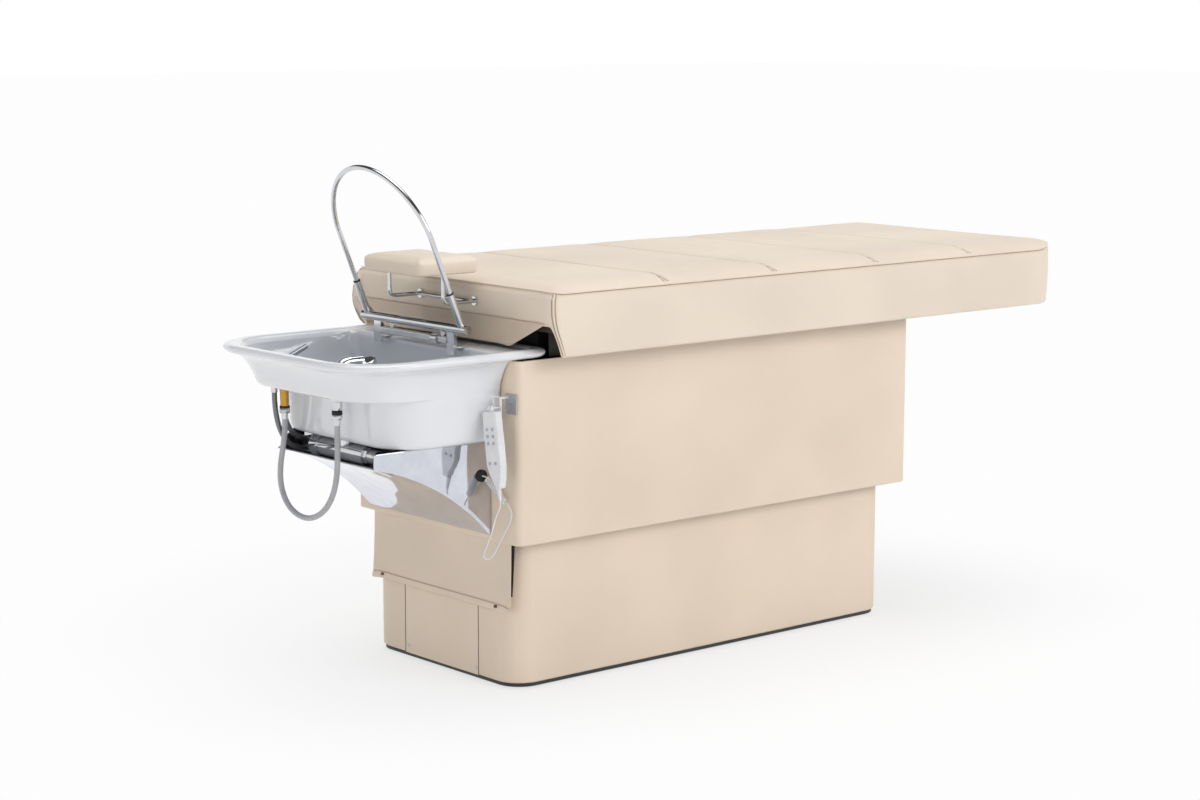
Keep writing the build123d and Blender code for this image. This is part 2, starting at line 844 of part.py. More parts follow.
with BuildPart() as headrest_cushion:
    extrude(plan_face(pad_bottom, pad_head_x, pad_foot_x, pad_width / 2, pad_corner, pad_corner),
            amount=pad_side + pad_crown + cut_over)
    with BuildSketch(Plane.YZ.offset(pad_head_x - cut_over)):
        with BuildLine():
            drawn = pad_width / 2 - pad_draw
            seam = pad_bottom + pad_side
            Line((-drawn, pad_bottom), (drawn, pad_bottom))
            ThreePointArc((drawn, pad_bottom), (pad_width / 2, pad_mid_z), (drawn, seam))
            ThreePointArc((drawn, seam), (0, pad_top_z), (-drawn, seam))
            ThreePointArc((-drawn, seam), (-pad_width / 2, pad_mid_z), (-drawn, pad_bottom))
        make_face()
    extrude(amount=pad_length + 2 * cut_over, mode=Mode.INTERSECT)
    with BuildSketch(Plane.XZ.offset(-pad_width / 2 - cut_over)):
        with BuildLine():
            low_x = pad_head_x + pad_draw
            high_x = pad_foot_x - pad_draw
            Line((low_x, pad_bottom), (high_x, pad_bottom))
            ThreePointArc((high_x, pad_bottom), (pad_foot_x, pad_mid_z), (high_x, seam))
            ThreePointArc((high_x, seam), ((low_x + high_x) / 2, pad_top_z), (low_x, seam))
            ThreePointArc((low_x, seam), (pad_head_x, pad_mid_z), (low_x, pad_bottom))
        make_face()
    extrude(amount=pad_width + 2 * cut_over, mode=Mode.INTERSECT)
    extrude(plan_face(pad_bottom, pad_head_x + pad_board_margin - fit_gap,
                      pad_foot_x - pad_board_margin + fit_gap,
                      pad_width / 2 - pad_board_margin + fit_gap, pad_corner / 2, pad_corner / 2),
            amount=pad_board + fit_gap, mode=Mode.SUBTRACT)
save(headrest_cushion, "headrest_cushion")

# Bowl: rolled rim, hollow flare to a front ledge, and a deeper basin behind it

tray_front_x = head_end + tray_front
basin_front_x = head_end + basin_front
rear_radius = bowl_wall

flare_top = rim_bottom + rim_round / 2
flare_faces = []
for height_share, inset_share in flare_shares:
    front_radius = bowl_front_corner - inset_share * (bowl_front_corner - basin_corner) / 2
    flare_faces.append(plan_face(flare_top - height_share * (flare_top - tray_bottom),
                                 head_end + inset_share * tray_front, bowl_back_x,
                                 bowl_half - inset_share * (bowl_half - tray_half),
                                 front_radius, rear_radius))

with BuildPart() as bowl:
    loft(flare_faces)
    loft([plan_face(basin_bottom, basin_front_x, bowl_back_x, basin_half - bowl_wall / 2,
                    basin_corner, rear_radius),
          plan_face(tray_bottom + bowl_wall, basin_front_x, bowl_back_x,
                    tray_half - bowl_wall / 4, basin_corner, rear_radius)])
    fillet(bowl.faces().sort_by(Axis.Z)[0].edges(), basin_round / 2)
    extrude(plan_face(rim_bottom, head_end, bowl_rear_x, bowl_half, bowl_front_corner,
                      bowl_rear_corner),
            amount=rim_thickness)
    fillet(bowl.faces().sort_by(Axis.Z)[-1].edges(), rim_round)
    loft([plan_face(bowl_top, head_end + rim_width, head_end + deck_front,
                    bowl_half - rim_width, bowl_front_corner - rim_width, basin_round),
          plan_face(ledge_top, tray_front_x + bowl_wall, bowl_back_x - bowl_wall,
                    tray_half - bowl_wall, basin_corner, basin_round)], mode=Mode.SUBTRACT)
    loft([plan_face(ledge_top + bowl_wall, basin_front_x + bowl_wall, bowl_back_x - bowl_wall,
                    tray_half - bowl_wall, basin_corner - bowl_wall, basin_round),
          plan_face(basin_bottom + bowl_wall, basin_front_x + bowl_wall,
                    bowl_back_x - bowl_wall, basin_half - 2 * bowl_wall,
                    basin_corner - bowl_wall, basin_round)], mode=Mode.SUBTRACT)
    extrude(plan_face(deck_z, head_end + deck_front - cut_over, bowl_rear_x - deck_back,
                      bowl_half - deck_side, basin_round, basin_round),
            amount=deck_drop, mode=Mode.SUBTRACT)
    with Locations((drain_x, 0, basin_bottom)):
        Cylinder(tail_radius + fit_gap, 2 * cut_over, mode=Mode.SUBTRACT)
    with Locations((fitting_x, mixer_y, tray_bottom)):
        Cylinder(shank_radius + fit_gap, 2 * cut_over, mode=Mode.SUBTRACT)
    with Locations((fitting_x, shower_y, tray_bottom)):
        Cylinder(guide_radius + fit_gap, 2 * cut_over, mode=Mode.SUBTRACT)
    with Locations((fitting_x - inlet_half_spacing, inlet_y, tray_bottom),
                   (fitting_x + inlet_half_spacing, inlet_y, tray_bottom)):
        Cylinder(inlet_radius + fit_gap, 2 * cut_over, mode=Mode.SUBTRACT)
save(bowl, "bowl")

# Brackets that carry the bowl on the skirt's head wall

with BuildPart() as bowl_brackets:
    for side in (-1, 1):
        with BuildSketch(Plane.XZ.offset(-side * bracket_half_spacing - bracket_width / 2)):
            with BuildLine():
                back = bowl_back_x
                seat = basin_bottom - fit_gap
                Polyline((back, seat), (back - bracket_reach, seat),
                         (back - bracket_reach, seat - bracket_thickness),
                         (back - bracket_thickness - bracket_rib, seat - bracket_thickness),
                         (back - bracket_thickness, seat - bracket_thickness - bracket_rib),
                         (back - bracket_thickness, seat - bracket_drop),
                         (back, seat - bracket_drop), (back, seat))
            make_face()
        extrude(amount=bracket_width)
        with BuildSketch(Plane.XZ.offset(-side * bracket_half_spacing - bracket_width / 2)):
            with BuildLine():
                Polyline((back - bracket_thickness, seat - bracket_thickness),
                         (back - bracket_thickness - bracket_rib, seat - bracket_thickness),
                         (back - bracket_thickness, seat - bracket_thickness - bracket_rib),
                         (back - bracket_thickness, seat - bracket_thickness))
            make_face()
        extrude(amount=bracket_width - bracket_thickness, mode=Mode.SUBTRACT)
save(bowl_brackets, "bowl_brackets")

# Waste: strainer, trap across under the basin, and a pipe to the hose spigot

with BuildPart() as drain_strainer:
    with BuildSketch(Plane.XY.offset(basin_bottom + bowl_wall)):
        with Locations((drain_x, 0)):
            Circle(strainer_radius)
            with PolarLocations(strainer_slot_ring / 2, strainer_slots // 2):
                Circle(strainer_slot_radius, mode=Mode.SUBTRACT)
            with PolarLocations(strainer_slot_ring, strainer_slots):
                Circle(strainer_slot_radius, mode=Mode.SUBTRACT)
    extrude(amount=strainer_flange)
    with BuildSketch(Plane.XY.offset(basin_bottom + bowl_wall)):
        with Locations((drain_x, 0)):
            Circle(tail_radius)
            Circle(tail_radius - drain_wall, mode=Mode.SUBTRACT)
    extrude(amount=-bowl_wall)
save(drain_strainer, "drain_strainer")

drain_end_x = drain_x + drain_run

with BuildPart() as drain_trap:
    with BuildSketch(Plane.XZ.offset(-trap_far)):
        with Locations((drain_x, trap_z)):
            Circle(trap_radius)
    extrude(amount=trap_far + trap_near)
    with BuildSketch(Plane.XY.offset(trap_z)):
        with Locations((drain_x, 0)):
            Circle(tail_radius)
    extrude(amount=basin_bottom - fit_gap - trap_z)
    with BuildSketch(Plane.XZ.offset(-trap_far - trap_nut_length)):
        with Locations((drain_x, trap_z)):
            Circle(trap_nut_radius)
    extrude(amount=trap_nut_length)
    with BuildLine() as pipe_path:
        FilletPolyline((drain_x, 0, trap_z), (drain_end_x, 0, trap_z),
                       (drain_end_x, 0, drain_end_z), radius=drain_bend)
    with BuildSketch(pipe_path.line ^ 0):
        Circle(drain_radius)
    sweep(path=pipe_path.line)
    with BuildSketch(Plane.XY.offset(drain_end_z)):
        with Locations((drain_end_x, 0)):
            Circle(drain_radius - drain_wall)
    extrude(amount=drain_bend, mode=Mode.SUBTRACT)
    fillet(drain_trap.faces().sort_by(Axis.Y)[-1].edges(), drain_wall)
save(drain_trap, "drain_trap")

with BuildPart() as trap_cap:
    with BuildSketch(Plane.XZ.offset(trap_near + fit_gap)):
        with Locations((drain_x, trap_z)):
            RegularPolygon(trap_cap_radius, 8)
    extrude(amount=trap_cap_length / 3)
    with BuildSketch(Plane.XZ.offset(trap_near + fit_gap)):
        with Locations((drain_x, trap_z)):
            Circle(trap_cap_radius - drain_wall)
    extrude(amount=trap_cap_length)
    fillet(trap_cap.faces().sort_by(Axis.Y)[0].edges(), drain_wall)
save(trap_cap, "trap_cap")

# Polished cowl: two side plates and a curved underside, open above and in front

cowl_front_x = skirt_head_x - cowl_reach
cowl_back_x = skirt_head_x - fit_gap
cowl_top = basin_bottom - fit_gap


def cowl_side(y, inset):
    """Side face of the cowl at y between the skirt and its front edge, its arc raised by inset."""
    sagitta = cowl_radius - math.sqrt(cowl_radius ** 2 - (
        (cowl_back_x - cowl_front_x) ** 2 + (cowl_rise_front - cowl_rise_rear) ** 2) / 4)
    middle_x = (cowl_back_x + cowl_front_x) / 2
    middle_z = (cowl_rise_rear + cowl_rise_front) / 2
    chord = math.hypot(cowl_back_x - cowl_front_x, cowl_rise_front - cowl_rise_rear)
    bow_x = sagitta * (cowl_rise_front - cowl_rise_rear) / chord
    bow_z = sagitta * (cowl_back_x - cowl_front_x) / chord
    with BuildSketch(Plane.XZ.offset(-y)) as face:
        with BuildLine():
            ThreePointArc((cowl_back_x, cowl_rise_rear + inset),
                          (middle_x + bow_x, middle_z + bow_z + inset),
                          (cowl_front_x, cowl_rise_front + inset))
            Polyline((cowl_front_x, cowl_rise_front + inset), (cowl_front_x, cowl_top),
                     (cowl_back_x, cowl_top), (cowl_back_x, cowl_rise_rear + inset))
        make_face()
    return face.sketch


with BuildPart() as bowl_cowl:
    extrude(cowl_side(cowl_half, 0), amount=2 * cowl_half)
    extrude(cowl_side(cowl_half - cowl_sheet, cowl_sheet), amount=2 * (cowl_half - cowl_sheet),
            mode=Mode.SUBTRACT)
    for side in (-1, 1):
        with BuildSketch(Plane.YZ.offset(cowl_back_x)):
            with Locations((side * (cowl_half - cowl_flange / 2), (cowl_rise_rear + cowl_top) / 2)):
                Rectangle(cowl_flange, cowl_top - cowl_rise_rear - 2 * cowl_sheet)
        extrude(amount=-cowl_sheet)
    with Locations(Plane((grommet_x, -cowl_half, grommet_z), z_dir=(0, -1, 0))):
        Cylinder(grommet_neck + fit_gap, 2 * cowl_flange, mode=Mode.SUBTRACT)
save(bowl_cowl, "bowl_cowl")

# Mixer: body, turning cap, tilting lever, and the brass shank below the ledge

with BuildPart() as mixer_body:
    with BuildSketch(Plane.XY.offset(ledge_top)):
        with Locations((fitting_x, mixer_y)):
            Circle(mixer_radius + mixer_collar)
    extrude(amount=mixer_collar)
    with BuildSketch(Plane.XY.offset(ledge_top + mixer_collar)):
        with Locations((fitting_x, mixer_y)):
            Circle(mixer_radius)
    extrude(amount=mixer_height - mixer_collar)
    fillet(mixer_body.faces().sort_by(Axis.Z)[-1].edges(), mixer_collar / 3)
    with BuildSketch(Plane.XY.offset(ledge_top)):
        with Locations((fitting_x - inlet_half_spacing, inlet_y),
                       (fitting_x + inlet_half_spacing, inlet_y)):
            Circle(inlet_radius)
    extrude(amount=-bowl_wall - inlet_drop)
    with BuildSketch(Plane.XY.offset(ledge_top)):
        with Locations((fitting_x, inlet_y)):
            SlotOverall(2 * (inlet_half_spacing + inlet_radius), 2 * inlet_radius)
    extrude(amount=mixer_collar)
save(mixer_body, "mixer_body")

cap_bottom = ledge_top + mixer_height + fit_gap

with BuildPart() as mixer_cap:
    with BuildSketch(Plane.XY.offset(cap_bottom)):
        with Locations((fitting_x, mixer_y)):
            Circle(mixer_radius)
    extrude(amount=cap_height)
    fillet(mixer_cap.faces().sort_by(Axis.Z)[-1].edges(), cap_edge)
    with BuildSketch(Plane.XZ.offset(-mixer_y - lever_radius - fit_gap)):
        with Locations((fitting_x + mixer_radius / 4, cap_bottom + cap_height)):
            Rectangle(mixer_radius + fit_gap, 2 * lever_radius + 2 * fit_gap,
                      align=(Align.MIN, Align.CENTER))
    extrude(amount=2 * (lever_radius + fit_gap), mode=Mode.SUBTRACT)
save(mixer_cap, "mixer_cap")

lever_root_x = fitting_x + mixer_radius / 2
lever_z = cap_bottom + cap_height

with BuildPart() as mixer_lever:
    with BuildLine() as lever_path:
        Polyline((lever_root_x, mixer_y, lever_z),
                 (lever_root_x + lever_length, mixer_y, lever_z + lever_rise))
    with BuildSketch(lever_path.line ^ 0):
        RectangleRounded(2 * lever_radius, 2 * lever_radius, lever_radius / 2)
    sweep(path=lever_path.line)
    with BuildSketch(Plane.XZ.offset(-mixer_y - lever_radius)):
        with Locations((lever_root_x, lever_z)):
            Circle(lever_radius)
    extrude(amount=2 * lever_radius)
save(mixer_lever, "mixer_lever")

with BuildPart() as mixer_shank:
    with BuildSketch(Plane.XY.offset(ledge_top - fit_gap)):
        with Locations((fitting_x, mixer_y)):
            Circle(shank_radius)
    extrude(amount=-bowl_wall - shank_low + fit_gap)
    with BuildSketch(Plane.XY.offset(tray_bottom - fit_gap)):
        with Locations((fitting_x, mixer_y)):
            RegularPolygon(shank_radius + mixer_collar, 6)
    extrude(amount=-guide_nut_height)
save(mixer_shank, "mixer_shank")

# Hand shower and the guide that it stands in

with BuildPart() as shower_guide:
    with BuildSketch(Plane.XY.offset(ledge_top)):
        with Locations((fitting_x, shower_y)):
            Circle(guide_flange_radius)
    extrude(amount=guide_flange)
    fillet(shower_guide.faces().sort_by(Axis.Z)[-1].edges(), guide_flange / 2)
    with BuildSketch(Plane.XY.offset(ledge_top)):
        with Locations((fitting_x, shower_y)):
            Circle(guide_radius)
    extrude(amount=-bowl_wall - guide_low)
    with BuildSketch(Plane.XY.offset(tray_bottom - fit_gap)):
        with Locations((fitting_x, shower_y)):
            Circle(guide_nut_radius)
    extrude(amount=-guide_nut_height)
    with BuildSketch(Plane.XY.offset(ledge_top + guide_flange)):
        with Locations((fitting_x, shower_y)):
            Circle(guide_bore)
    extrude(amount=-guide_flange - bowl_wall - guide_low, mode=Mode.SUBTRACT)
save(shower_guide, "shower_guide")

shower_base_z = ledge_top + guide_flange + fit_gap
shower_turn_z = shower_base_z + shower_rise + shower_bend
shower_head_x = fitting_x + shower_reach

with BuildPart() as hand_shower:
    with BuildLine() as handle_path:
        FilletPolyline((fitting_x, shower_y, shower_base_z), (fitting_x, shower_y, shower_turn_z),
                       (shower_head_x, shower_y, shower_turn_z), radius=shower_bend)
    with BuildSketch(handle_path.line ^ 0):
        Circle(shower_handle_radius)
    sweep(path=handle_path.line)
    tilt = math.radians(shower_head_tilt)
    head_plane = Plane((shower_head_x + shower_head_radius / 2, shower_y,
                        shower_turn_z - shower_head_height / 2),
                       z_dir=(-math.sin(tilt), 0, math.cos(tilt)))
    with BuildSketch(head_plane):
        Circle(shower_head_radius)
    extrude(amount=shower_head_height / 2, both=True)
    fillet(hand_shower.faces().filter_by(GeomType.PLANE).sort_by(Axis.X)[-2:].edges(),
           shower_head_edge)
    with BuildSketch(Plane.XY.offset(shower_base_z)):
        with Locations((fitting_x, shower_y)):
            Circle(shower_tail_radius)
    extrude(amount=-shower_tail)
save(hand_shower, "hand_shower")

# Rings and ferrules at the two ends of the shower hose

shank_end = tray_bottom - shank_low
guide_end = tray_bottom - guide_low

with BuildPart() as hose_ferrules:
    for y, z in ((mixer_y, shank_end), (shower_y, guide_end)):
        with BuildSketch(Plane.XY.offset(z - fit_gap)):
            with Locations((fitting_x, y)):
                Circle(ring_radius)
        extrude(amount=-ring_height)
        with BuildSketch(Plane.XY.offset(z - fit_gap - ring_height)):
            with Locations((fitting_x, y)):
                Circle(ferrule_radius)
        extrude(amount=-ferrule_height)
save(hose_ferrules, "hose_ferrules")

# The shower hose hangs in a U below the ledge; its points are its route

hose_start_z = shank_end - fit_gap - ring_height - ferrule_height
hose_end_z = guide_end - fit_gap - ring_height - ferrule_height
hose_places = [(mixer_y, hose_start_z), (mixer_y, 541), (122, 504), (134, 463), (134, 421),
               (110, 384), (68, 366), (20, 367), (-28, 390), (-61, 429), (-76, 476),
               (shower_y, 526), (shower_y, hose_end_z)]
hose_route = [(fitting_x, y, z) for y, z in hose_places]
shower_hose = tube_along(hose_route, hose_radius)
save(shower_hose, "shower_hose")

# Supply hoses between the mixer's inlets and the stop valves under the basin

inlet_end = tray_bottom - inlet_drop
valve_x = supply_end_x
valve_top = basin_bottom - fit_gap
cold_route = [(fitting_x + inlet_half_spacing, inlet_y, inlet_end),
              (fitting_x + inlet_half_spacing, inlet_y, supply_low_z),
              (valve_x, inlet_y, supply_low_z)]
hot_route = [(fitting_x - inlet_half_spacing, inlet_y, inlet_end),
             (fitting_x - inlet_half_spacing, inlet_y, supply_low_z - supply_spread),
             (valve_x, inlet_y, supply_low_z - supply_spread)]
supply_hose_cold = tube_along(cold_route, supply_radius, [supply_turn])
save(supply_hose_cold, "supply_hose_cold")
supply_hose_hot = tube_along(hot_route, supply_radius, [supply_turn + supply_spread])
save(supply_hose_hot, "supply_hose_hot")

valve_start_x = valve_x + fit_gap

with BuildPart() as stop_valve:
    with BuildSketch(Plane.XY.offset(valve_top)):
        with Locations((valve_start_x + valve_length / 2, inlet_y)):
            RectangleRounded(valve_length, 2 * valve_half_width, valve_edge)
    extrude(amount=-valve_height)
    with BuildSketch(Plane.YZ.offset(valve_start_x + valve_length)):
        with Locations((inlet_y, supply_low_z), (inlet_y, supply_low_z - supply_spread)):
            Circle(valve_stub_radius)
    extrude(amount=valve_stub_length)
    with BuildSketch(Plane.XZ.offset(-inlet_y + valve_half_width)):
        with Locations((valve_start_x + valve_length / 2, supply_low_z),
                       (valve_start_x + valve_length / 2, supply_low_z - supply_spread)):
            Circle(valve_spindle_radius)
    extrude(amount=valve_spindle_length)
save(stop_valve, "stop_valve")

# Arch stand: two posts, the rail between them, its clamp screws and the fixed pivot bar

with BuildPart() as arch_posts:
    for side in (-1, 1):
        with BuildSketch(Plane.YZ.offset(bar_x - post_thickness / 2)):
            with Locations((side * post_half_spacing, deck_z - post_drop)):
                Rectangle(post_width, bar_z - deck_z + post_drop, align=(Align.CENTER, Align.MIN))
        extrude(amount=post_thickness)
        with BuildSketch(Plane.XY.offset(deck_z)):
            with Locations((bar_x + post_foot_length / 2 - post_thickness / 2,
                            side * post_half_spacing)):
                Rectangle(post_foot_length, post_width)
        extrude(amount=post_foot_height)
    with Locations(Plane((bar_x, 0, bar_z), z_dir=(0, 1, 0))):
        Cylinder(bar_radius + turning_gap, 2 * bar_half, mode=Mode.SUBTRACT)
save(arch_posts, "arch_posts")

rail_length = 2 * post_half_spacing - post_width - 2 * fit_gap

with BuildPart() as lower_rail:
    with BuildSketch(Plane.XZ.offset(-rail_length / 2)):
        with Locations((bar_x, rail_bar_z)):
            RectangleRounded(rail_bar, rail_bar, rail_wall_thickness)
    extrude(amount=rail_length)
    with Locations((bar_x, clamp_far_y, rail_bar_z), (bar_x, clamp_near_y, rail_bar_z)):
        Cylinder(clamp_shank + rod_clearance, rail_bar, mode=Mode.SUBTRACT)
save(lower_rail, "lower_rail")

with BuildPart() as rail_knob:
    with BuildSketch(Plane.XZ.offset(-knob_y)):
        with Locations((bar_x, rail_bar_z)):
            Circle(knob_radius)
            Rectangle(rail_bar + 2 * fit_gap, rail_bar + 2 * fit_gap, mode=Mode.SUBTRACT)
            with PolarLocations(knob_radius, knob_ribs):
                Circle(knob_rib_radius, mode=Mode.SUBTRACT)
    extrude(amount=knob_length)
save(rail_knob, "rail_knob")

with BuildPart() as clamp_screws:
    clamp_top = rail_bar_z + rail_bar / 2
    for y in (clamp_far_y, clamp_near_y):
        with BuildSketch(Plane.XY.offset(clamp_top - rail_bar)):
            with Locations((bar_x, y)):
                Circle(clamp_shank)
        extrude(amount=rail_bar)
        with BuildSketch(Plane.XY.offset(clamp_top + fit_gap)):
            with Locations((bar_x, y)):
                Circle(clamp_boss_radius)
        extrude(amount=clamp_boss_height)
        with BuildSketch(Plane.XY.offset(clamp_top)):
            with Locations((bar_x, y)):
                Circle(clamp_shank)
        extrude(amount=clamp_boss_height)
        with BuildSketch(Plane.XY.offset(clamp_top + clamp_boss_height)):
            with Locations((bar_x, y)):
                SlotOverall(clamp_wing, clamp_wing_thickness, rotation=90)
        extrude(amount=clamp_wing_height)
save(clamp_screws, "clamp_screws")

bar_plane = Plane((bar_x, 0, bar_z), z_dir=(0, 1, 0))

with BuildPart() as pivot_bar:
    with BuildSketch(bar_plane):
        Circle(bar_radius)
    extrude(amount=bar_half, both=True)
    with BuildSketch(bar_plane):
        Circle(spigot_radius)
    extrude(amount=bar_half + spigot_length, both=True)
save(pivot_bar, "pivot_bar")

# Arch: end collars with sleeves that turn on the bar's spigots, and the bent tube

lean = math.radians(arch_lean)
arch_plane = Plane((bar_x, 0, bar_z), x_dir=(0, 1, 0), z_dir=(math.cos(lean), 0, math.sin(lean)))

collar_start = bar_half + fit_gap
lean_up = Vector(-math.sin(lean), 0, math.cos(lean))

with BuildPart() as arch_sleeves:
    for side in (-1, 1):
        collar_plane = Plane((bar_x, side * collar_start, bar_z), z_dir=(0, side, 0))
        sleeve_foot = Vector(bar_x, side * arch_half, bar_z)
        with BuildSketch(collar_plane):
            Circle(bar_radius)
        extrude(amount=collar_length)
        with BuildSketch(Plane(sleeve_foot, z_dir=lean_up)):
            Circle(sleeve_radius)
        extrude(amount=sleeve_top)
        with BuildSketch(collar_plane):
            Circle(spigot_radius + turning_gap)
        extrude(amount=collar_length - collar_wall, mode=Mode.SUBTRACT)
        with BuildSketch(Plane(sleeve_foot + lean_up * sleeve_bore_floor, z_dir=lean_up)):
            Circle(arch_tube_radius + turning_gap)
        extrude(amount=sleeve_top, mode=Mode.SUBTRACT)
save(arch_sleeves, "arch_sleeves")

with BuildPart() as arch_seals:
    for side in (-1, 1):
        seal_foot = Vector(bar_x, side * arch_half, bar_z) + lean_up * (sleeve_top + fit_gap)
        with BuildSketch(Plane(seal_foot, z_dir=lean_up)):
            Circle(sleeve_radius)
            Circle(arch_tube_radius + turning_gap, mode=Mode.SUBTRACT)
        extrude(amount=seal_height)
save(arch_seals, "arch_seals")

arch_rise = arch_top - arch_leg_top
arch_crown = ((arch_half - arch_shoulder) ** 2 + arch_rise ** 2 - arch_shoulder ** 2) / (
    2 * (arch_rise - arch_shoulder))
crown_center = arch_top - arch_crown
shoulder_angle = math.degrees(math.atan2(arch_leg_top - crown_center, arch_half - arch_shoulder))

with BuildPart() as arch_tube:
    with BuildLine(arch_plane) as arch_path:
        leg_foot = sleeve_bore_floor + fit_gap
        Line((-arch_half, leg_foot), (-arch_half, arch_leg_top))
        CenterArc((-arch_half + arch_shoulder, arch_leg_top), arch_shoulder, 180, -shoulder_angle)
        CenterArc((0, crown_center), arch_crown, 180 - shoulder_angle, 2 * shoulder_angle - 180)
        CenterArc((arch_half - arch_shoulder, arch_leg_top), arch_shoulder, shoulder_angle,
                  -shoulder_angle)
        Line((arch_half, arch_leg_top), (arch_half, leg_foot))
    with BuildSketch(arch_path.wires()[0] ^ 0):
        Circle(arch_tube_radius)
    sweep(path=arch_path.wires()[0])
save(arch_tube, "arch_tube")

# Holder for the remote control on the skirt's head wall

with BuildPart() as remote_bracket:
    with BuildSketch(Plane.YZ.offset(skirt_head_x - fit_gap)):
        with Locations((holder_y, holder_z)):
            RectangleRounded(holder_width, holder_height, holder_edge)
            Circle(holder_screw_radius / 2, mode=Mode.SUBTRACT)
    extrude(amount=-holder_thickness)
save(remote_bracket, "remote_bracket")

holder_face = skirt_head_x - fit_gap - holder_thickness
hook_x = holder_face - hook_reach
lean_angle = math.radians(remote_lean)
remote_down = Vector(0, -math.sin(lean_angle), -math.cos(lean_angle))
remote_right = Vector(0, -math.cos(lean_angle), math.sin(lean_angle))
remote_origin = (Vector(remote_front_x, hook_y, peg_z) + remote_down * (peg_z - remote_top_z))

with BuildPart() as remote_hook:
    with BuildSketch(Plane.XZ.offset(-hook_y - hook_section / 2)):
        with BuildLine():
            Polyline((holder_face, hook_z), (hook_x, hook_z), (hook_x, hook_bottom),
                     (hook_x + hook_section, hook_bottom),
                     (hook_x + hook_section, hook_z - hook_section),
                     (holder_face, hook_z - hook_section), (holder_face, hook_z))
        make_face()
    extrude(amount=hook_section)
    with BuildSketch(Plane.YZ.offset(hook_x)):
        with Locations((hook_y, hook_bottom)):
            Rectangle(hook_plate_width, hook_plate_height, align=(Align.CENTER, Align.MIN))
    extrude(amount=hook_section / 2)
    with BuildSketch(Plane.YZ.offset(hook_x)):
        with Locations((hook_y, peg_z)):
            Circle(peg_radius)
    extrude(amount=remote_front_x - hook_x)
    with BuildLine() as bail_path:
        Polyline((holder_face - bail_radius, hook_y, hook_z - bail_rise),
                 (holder_face - bail_reach, hook_y, hook_z + bail_rise),
                 (holder_face - bail_reach + bail_return, hook_y, peg_z))
    with BuildSketch(bail_path.line ^ 0):
        Circle(bail_radius)
    sweep(path=bail_path.line, transition=Transition.ROUND)
save(remote_hook, "remote_hook")

# Remote control, hung with a slight lean from the holder's peg

remote_plane = Plane(remote_origin, x_dir=remote_right, z_dir=(-1, 0, 0))

with BuildPart() as remote_shell:
    with BuildSketch(remote_plane) as remote_face:
        with BuildLine():
            Polyline(*[(across * remote_width, -down * remote_length)
                       for across, down in remote_shares])
        make_face()
        fillet(remote_face.vertices(), remote_corner / 2)
    extrude(amount=-remote_thickness)
    fillet(remote_shell.faces().sort_by(Axis.X)[0].edges(), remote_edge)
    fillet(remote_shell.faces().sort_by(Axis.X)[-1].edges(), remote_edge)
    with BuildSketch(remote_plane):
        for share in button_row_shares:
            for side in (-1, 1):
                with Locations((side * button_column, -share * remote_length)):
                    Circle(button_radius + button_clearance)
    extrude(amount=-button_depth - button_travel - fit_gap, mode=Mode.SUBTRACT)
    with BuildSketch(remote_plane.offset(-(remote_thickness - eye_thickness) / 2)):
        with Locations((0, peg_z - remote_top_z)):
            Circle(eye_radius)
            Rectangle(2 * eye_radius, peg_z - remote_top_z + remote_edge,
                      align=(Align.CENTER, Align.MAX))
            Circle(eye_bore, mode=Mode.SUBTRACT)
    extrude(amount=-eye_thickness)
save(remote_shell, "remote_shell")

button_number = 0
for share in button_row_shares:
    for side in (-1, 1):
        button_number += 1
        with BuildPart() as remote_button:
            with BuildSketch(remote_plane.offset(button_proud)):
                with Locations((side * button_column, -share * remote_length)):
                    Circle(button_radius)
            extrude(amount=-button_proud - button_depth)
            fillet(remote_button.faces().sort_by(Axis.X)[0].edges(), button_proud / 2)
        save(remote_button, f"remote_button_{button_number}")

tail_top = (remote_origin + remote_down * (remote_length + fit_gap) + remote_right * relief_offset
            + Vector(remote_thickness / 2, 0, 0))
tail_end = tail_top + remote_down * relief_length

with BuildPart() as remote_relief:
    with BuildSketch(Plane(tail_top, z_dir=remote_down)):
        Circle(relief_radius)
    with BuildSketch(Plane(tail_end, z_dir=remote_down)):
        Circle(relief_end_radius)
    loft()
save(remote_relief, "remote_relief")

# Grommet in the cowl where the remote's cord comes out

grommet_plane = Plane((grommet_x, -cowl_half, grommet_z), z_dir=(0, -1, 0))

with BuildPart() as cord_grommet:
    with BuildSketch(grommet_plane):
        Circle(grommet_radius)
    extrude(amount=grommet_height)
    fillet(cord_grommet.faces().sort_by(Axis.Y)[0].edges(), grommet_height / 3)
    with BuildSketch(grommet_plane):
        Circle(grommet_neck)
    extrude(amount=-cowl_sheet - grommet_height)
save(cord_grommet, "cord_grommet")

# Curly cord: a helix of quarter turns on arcs, drawn in to its axis at both ends

cord_start = Vector(grommet_x, -cowl_half - grommet_height, grommet_z)
coil_origin = cord_start + Vector(0, -coil_lead, 0) + coil_direction * coil_radius
coil_plane = Plane(coil_origin, x_dir=(1, 0, 0), z_dir=coil_direction)


def coil_point(turn):
    """Place and direction on the helix after a number of turns."""
    angle = 2 * math.pi * turn
    place = coil_plane.from_local_coords(Vector(
        coil_radius * math.cos(angle), coil_radius * math.sin(angle), coil_pitch * turn))
    circle = coil_plane.x_dir * -math.sin(angle) + coil_plane.y_dir * math.cos(angle)
    heading = circle * (2 * math.pi * coil_radius) + coil_direction * coil_pitch
    return place, heading.normalized()


coil_exit = coil_origin + coil_direction * (coil_pitch * coil_turns + 2 * coil_radius)
lead_length = 2 * cord_radius

